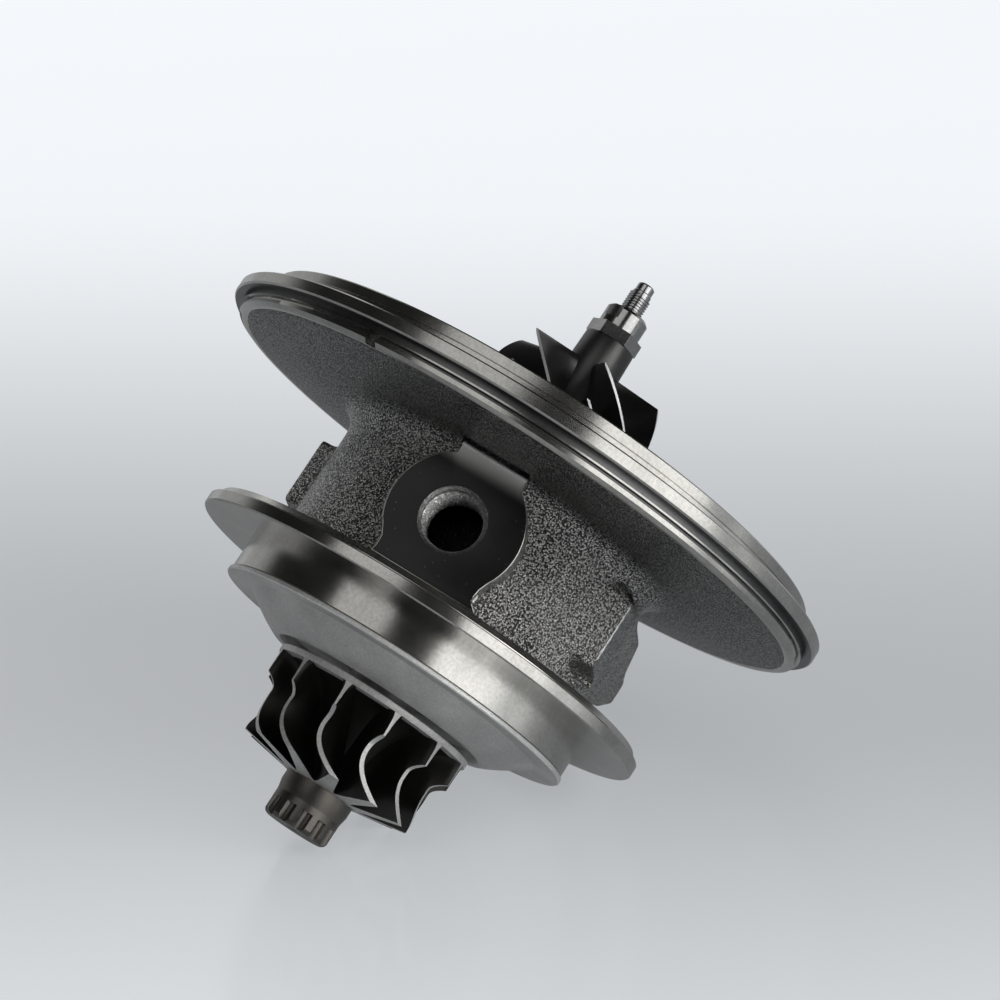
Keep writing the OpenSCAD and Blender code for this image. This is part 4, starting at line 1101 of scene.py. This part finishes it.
# Shaft, with a rolled thread and a plain end
shaftForm = {
    "line": [(-56.2, 0.0), (-56.2, 7.55), (-55.85, 7.9), (-50.47, 7.9), (-50.47, 6.8), (-49.23, 6.8),
        (-49.23, 7.9), (-47.2, 7.9), (-46.8, 7.55), (-46.8, 4.3), (-46.5, 4.0), (-35.6, 4.0), (-35.3, 3.7),
        (-28.6, 3.7), (-28.3, 4.0), (-15.81, 4.0), (-15.46, 3.65), (-15.46, 3.0), (28.05, 3.0), (28.4, 2.5),
        (38.6, 2.5), (38.9, 2.08), (44.4, 2.08), (44.6, 1.9), (46.05, 1.9), (46.4, 1.55), (46.4, 0.0)],
    "pitch": 0.62, "crest": 2.46, "root": 2.0, "footHalf": 0.29, "crestHalf": 0.05, "from": 38.8, "to": 44.2,
}
bm = bmesh.new()
lathe(bm, shaftForm["line"], 96, closed=False)
kept(finished(bm, "shaftPiece", "shaft", sharp=28.0), "rotor", "shaft", slot="shaft")
bm = bmesh.new()
turns = (shaftForm["to"] - shaftForm["from"]) / shaftForm["pitch"]
start, root, crest = shaftForm["from"], shaftForm["root"], shaftForm["crest"]
foot, land = shaftForm["footHalf"], shaftForm["crestHalf"]
section = [(start - foot, 0, root), (start - land, 0, crest), (start + land, 0, crest),
    (start + foot, 0, root)]
helix(bm, section, (1, 0, 0), (0, 0, 0), shaftForm["pitch"], math.floor(turns))
kept(finished(bm, "shaftThread", "shaft", sharp=40.0, merge=0.0001), "rotor", "shaft", slot="shaft")
print("nut and shaft done")


# The pieces inside keep the frame's own meshes
inner = {
    "turbine_seal_ring": "clip", "turbine_bearing": "bronze", "turbine_bearing_outer_clip": "clip",
    "turbine_bearing_inner_clip": "clip", "compressor_bearing": "bronze",
    "compressor_bearing_inner_clip": "clip", "compressor_bearing_outer_clip": "clip",
    "thrust_bearing": "bronze", "thrust_bearing_screws": "shaft", "oil_baffle": "plate",
    "seal_plate": "plate", "seal_plate_o_ring": "rubber", "seal_plate_circlip": "clip",
    "compressor_seal_ring": "clip", "thrust_collar": "shaft", "oil_flinger": "shaft",
}
for node, item in inner.items():
    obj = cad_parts[node]
    obj.data.materials.clear()
    obj.data.materials.append(finish[item])


# Camera, floor, lamps and world
right, up = Vector(studio["cameraRight"]), Vector(studio["cameraUp"])
back = right.cross(up).normalized()
cameraData = bpy.data.cameras.new("camera")
cameraData.lens = studio["lens"]
cameraData.sensor_width = studio["sensor"]
cameraData.dof.use_dof = False
cameraData.clip_end = 50.0
camera = bpy.data.objects.new("camera", cameraData)
turn = Matrix((right, up, back)).transposed().to_4x4()
camera.matrix_world = Matrix.Translation(Vector(studio["cameraPlace"]) * mm) @ turn
bpy.context.scene.collection.objects.link(camera)
bpy.context.scene.camera = camera

floorUp = Vector(studio["floorUp"]).normalized()
floorSpot = floorUp * (-studio["floorDrop"] * mm)
floorTurn = floorUp.to_track_quat("Z", "Y").to_matrix()
farther = floorTurn.inverted() @ (up - floorUp * up.dot(floorUp)).normalized()


def floorShader():
    material = Shader("paperFloor", roughness=studio["floorRough"], colour=studio["floorColour"])
    path = material.node("ShaderNodeLightPath", out=None)
    gloss = Wire(material, path.outputs["Is Glossy Ray"])
    along = material.dot(material.place, farther)
    near, middle, far = studio["floorGlows"]
    level = along.step(*studio["floorRise"]) * (far - middle) + middle
    level = level + (1.0 - along.step(*studio["floorFall"])) * (near - middle)
    level = level * (1.0 - gloss * (1.0 - studio["floorInGloss"]))
    material.set("Emission Color", material.mix(level, (0, 0, 0), studio["floorGlow"]))
    material.set("Emission Strength", 1.0)
    geometry = material.node("ShaderNodeNewGeometry", out=None)
    clear = material.node("ShaderNodeBsdfTransparent")
    backside = Wire(material, geometry.outputs["Backfacing"])
    front = Wire(material, material.surface.outputs[0])
    both = material.node("ShaderNodeMixShader", {}, [backside, front, clear])
    output = material.tree.nodes["Material Output"]
    material.link(both, output.inputs["Surface"])
    return material.material


bm = bmesh.new()
bmesh.ops.create_circle(bm, cap_ends=True, segments=96, radius=studio["floorRadius"] * mm)
mesh = bpy.data.meshes.new("floor")
bm.to_mesh(mesh)
bm.free()
floor = bpy.data.objects.new("floor", mesh)
floor.matrix_world = Matrix.Translation(floorSpot) @ floorTurn.to_4x4()
mesh.materials.append(floorShader())
bpy.context.scene.collection.objects.link(floor)
floor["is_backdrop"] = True


def lamp(name, spot, size, power):
    # a soft square lamp; its place is given along the camera's right, up and back, in metres
    data = bpy.data.lights.new(name, "AREA")
    data.shape = "RECTANGLE"
    data.size, data.size_y = size
    data.energy = power
    made = bpy.data.objects.new(name, data)
    place = right * spot[0] + up * spot[1] + back * spot[2]
    facing = (Vector(studio["lampAim"]) - place).to_track_quat("-Z", "Y").to_matrix().to_4x4()
    made.matrix_world = Matrix.Translation(place) @ facing
    bpy.context.scene.collection.objects.link(made)
    made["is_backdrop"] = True
    return made


for name, spot, size, power in studio["lamps"]:
    lamp(name, spot, size, power)


def worldLight(p):
    # a dark room with the paper swept up behind the part; pale where the camera or a clear piece looks
    world = bpy.data.worlds.new("studio")
    bpy.context.scene.world = world
    sky = Tree(world)
    aim = sky.node("ShaderNodeTexCoord", out="Generated")
    behind = (up - floorUp * up.dot(floorUp)).normalized()
    height = sky.dot(aim, floorUp)
    sweep = (1.0 - height.step(*p["sweepEdge"])) * sky.dot(aim, behind).step(-0.3, 0.35)
    level = sweep * (p["sweep"] - p["dark"]) + p["dark"]
    path = sky.node("ShaderNodeLightPath", out=None)
    direct = Wire(sky, path.outputs["Is Camera Ray"])
    direct = direct.maths("MAXIMUM", direct, Wire(sky, path.outputs["Is Transmission Ray"]))
    colour = sky.mix(direct, sky.mix(level, (0, 0, 0), (0.97, 0.98, 1.0)), p["paper"])
    surface = sky.tree.nodes["Background"]
    sky.link(colour, surface.inputs["Color"])


worldLight(studio)
scene = bpy.context.scene
scene.view_settings.view_transform = "Standard"
scene.render.resolution_x = 1000
scene.render.resolution_y = 1000
scene.render.film_transparent = False
print("studio done")

low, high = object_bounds()
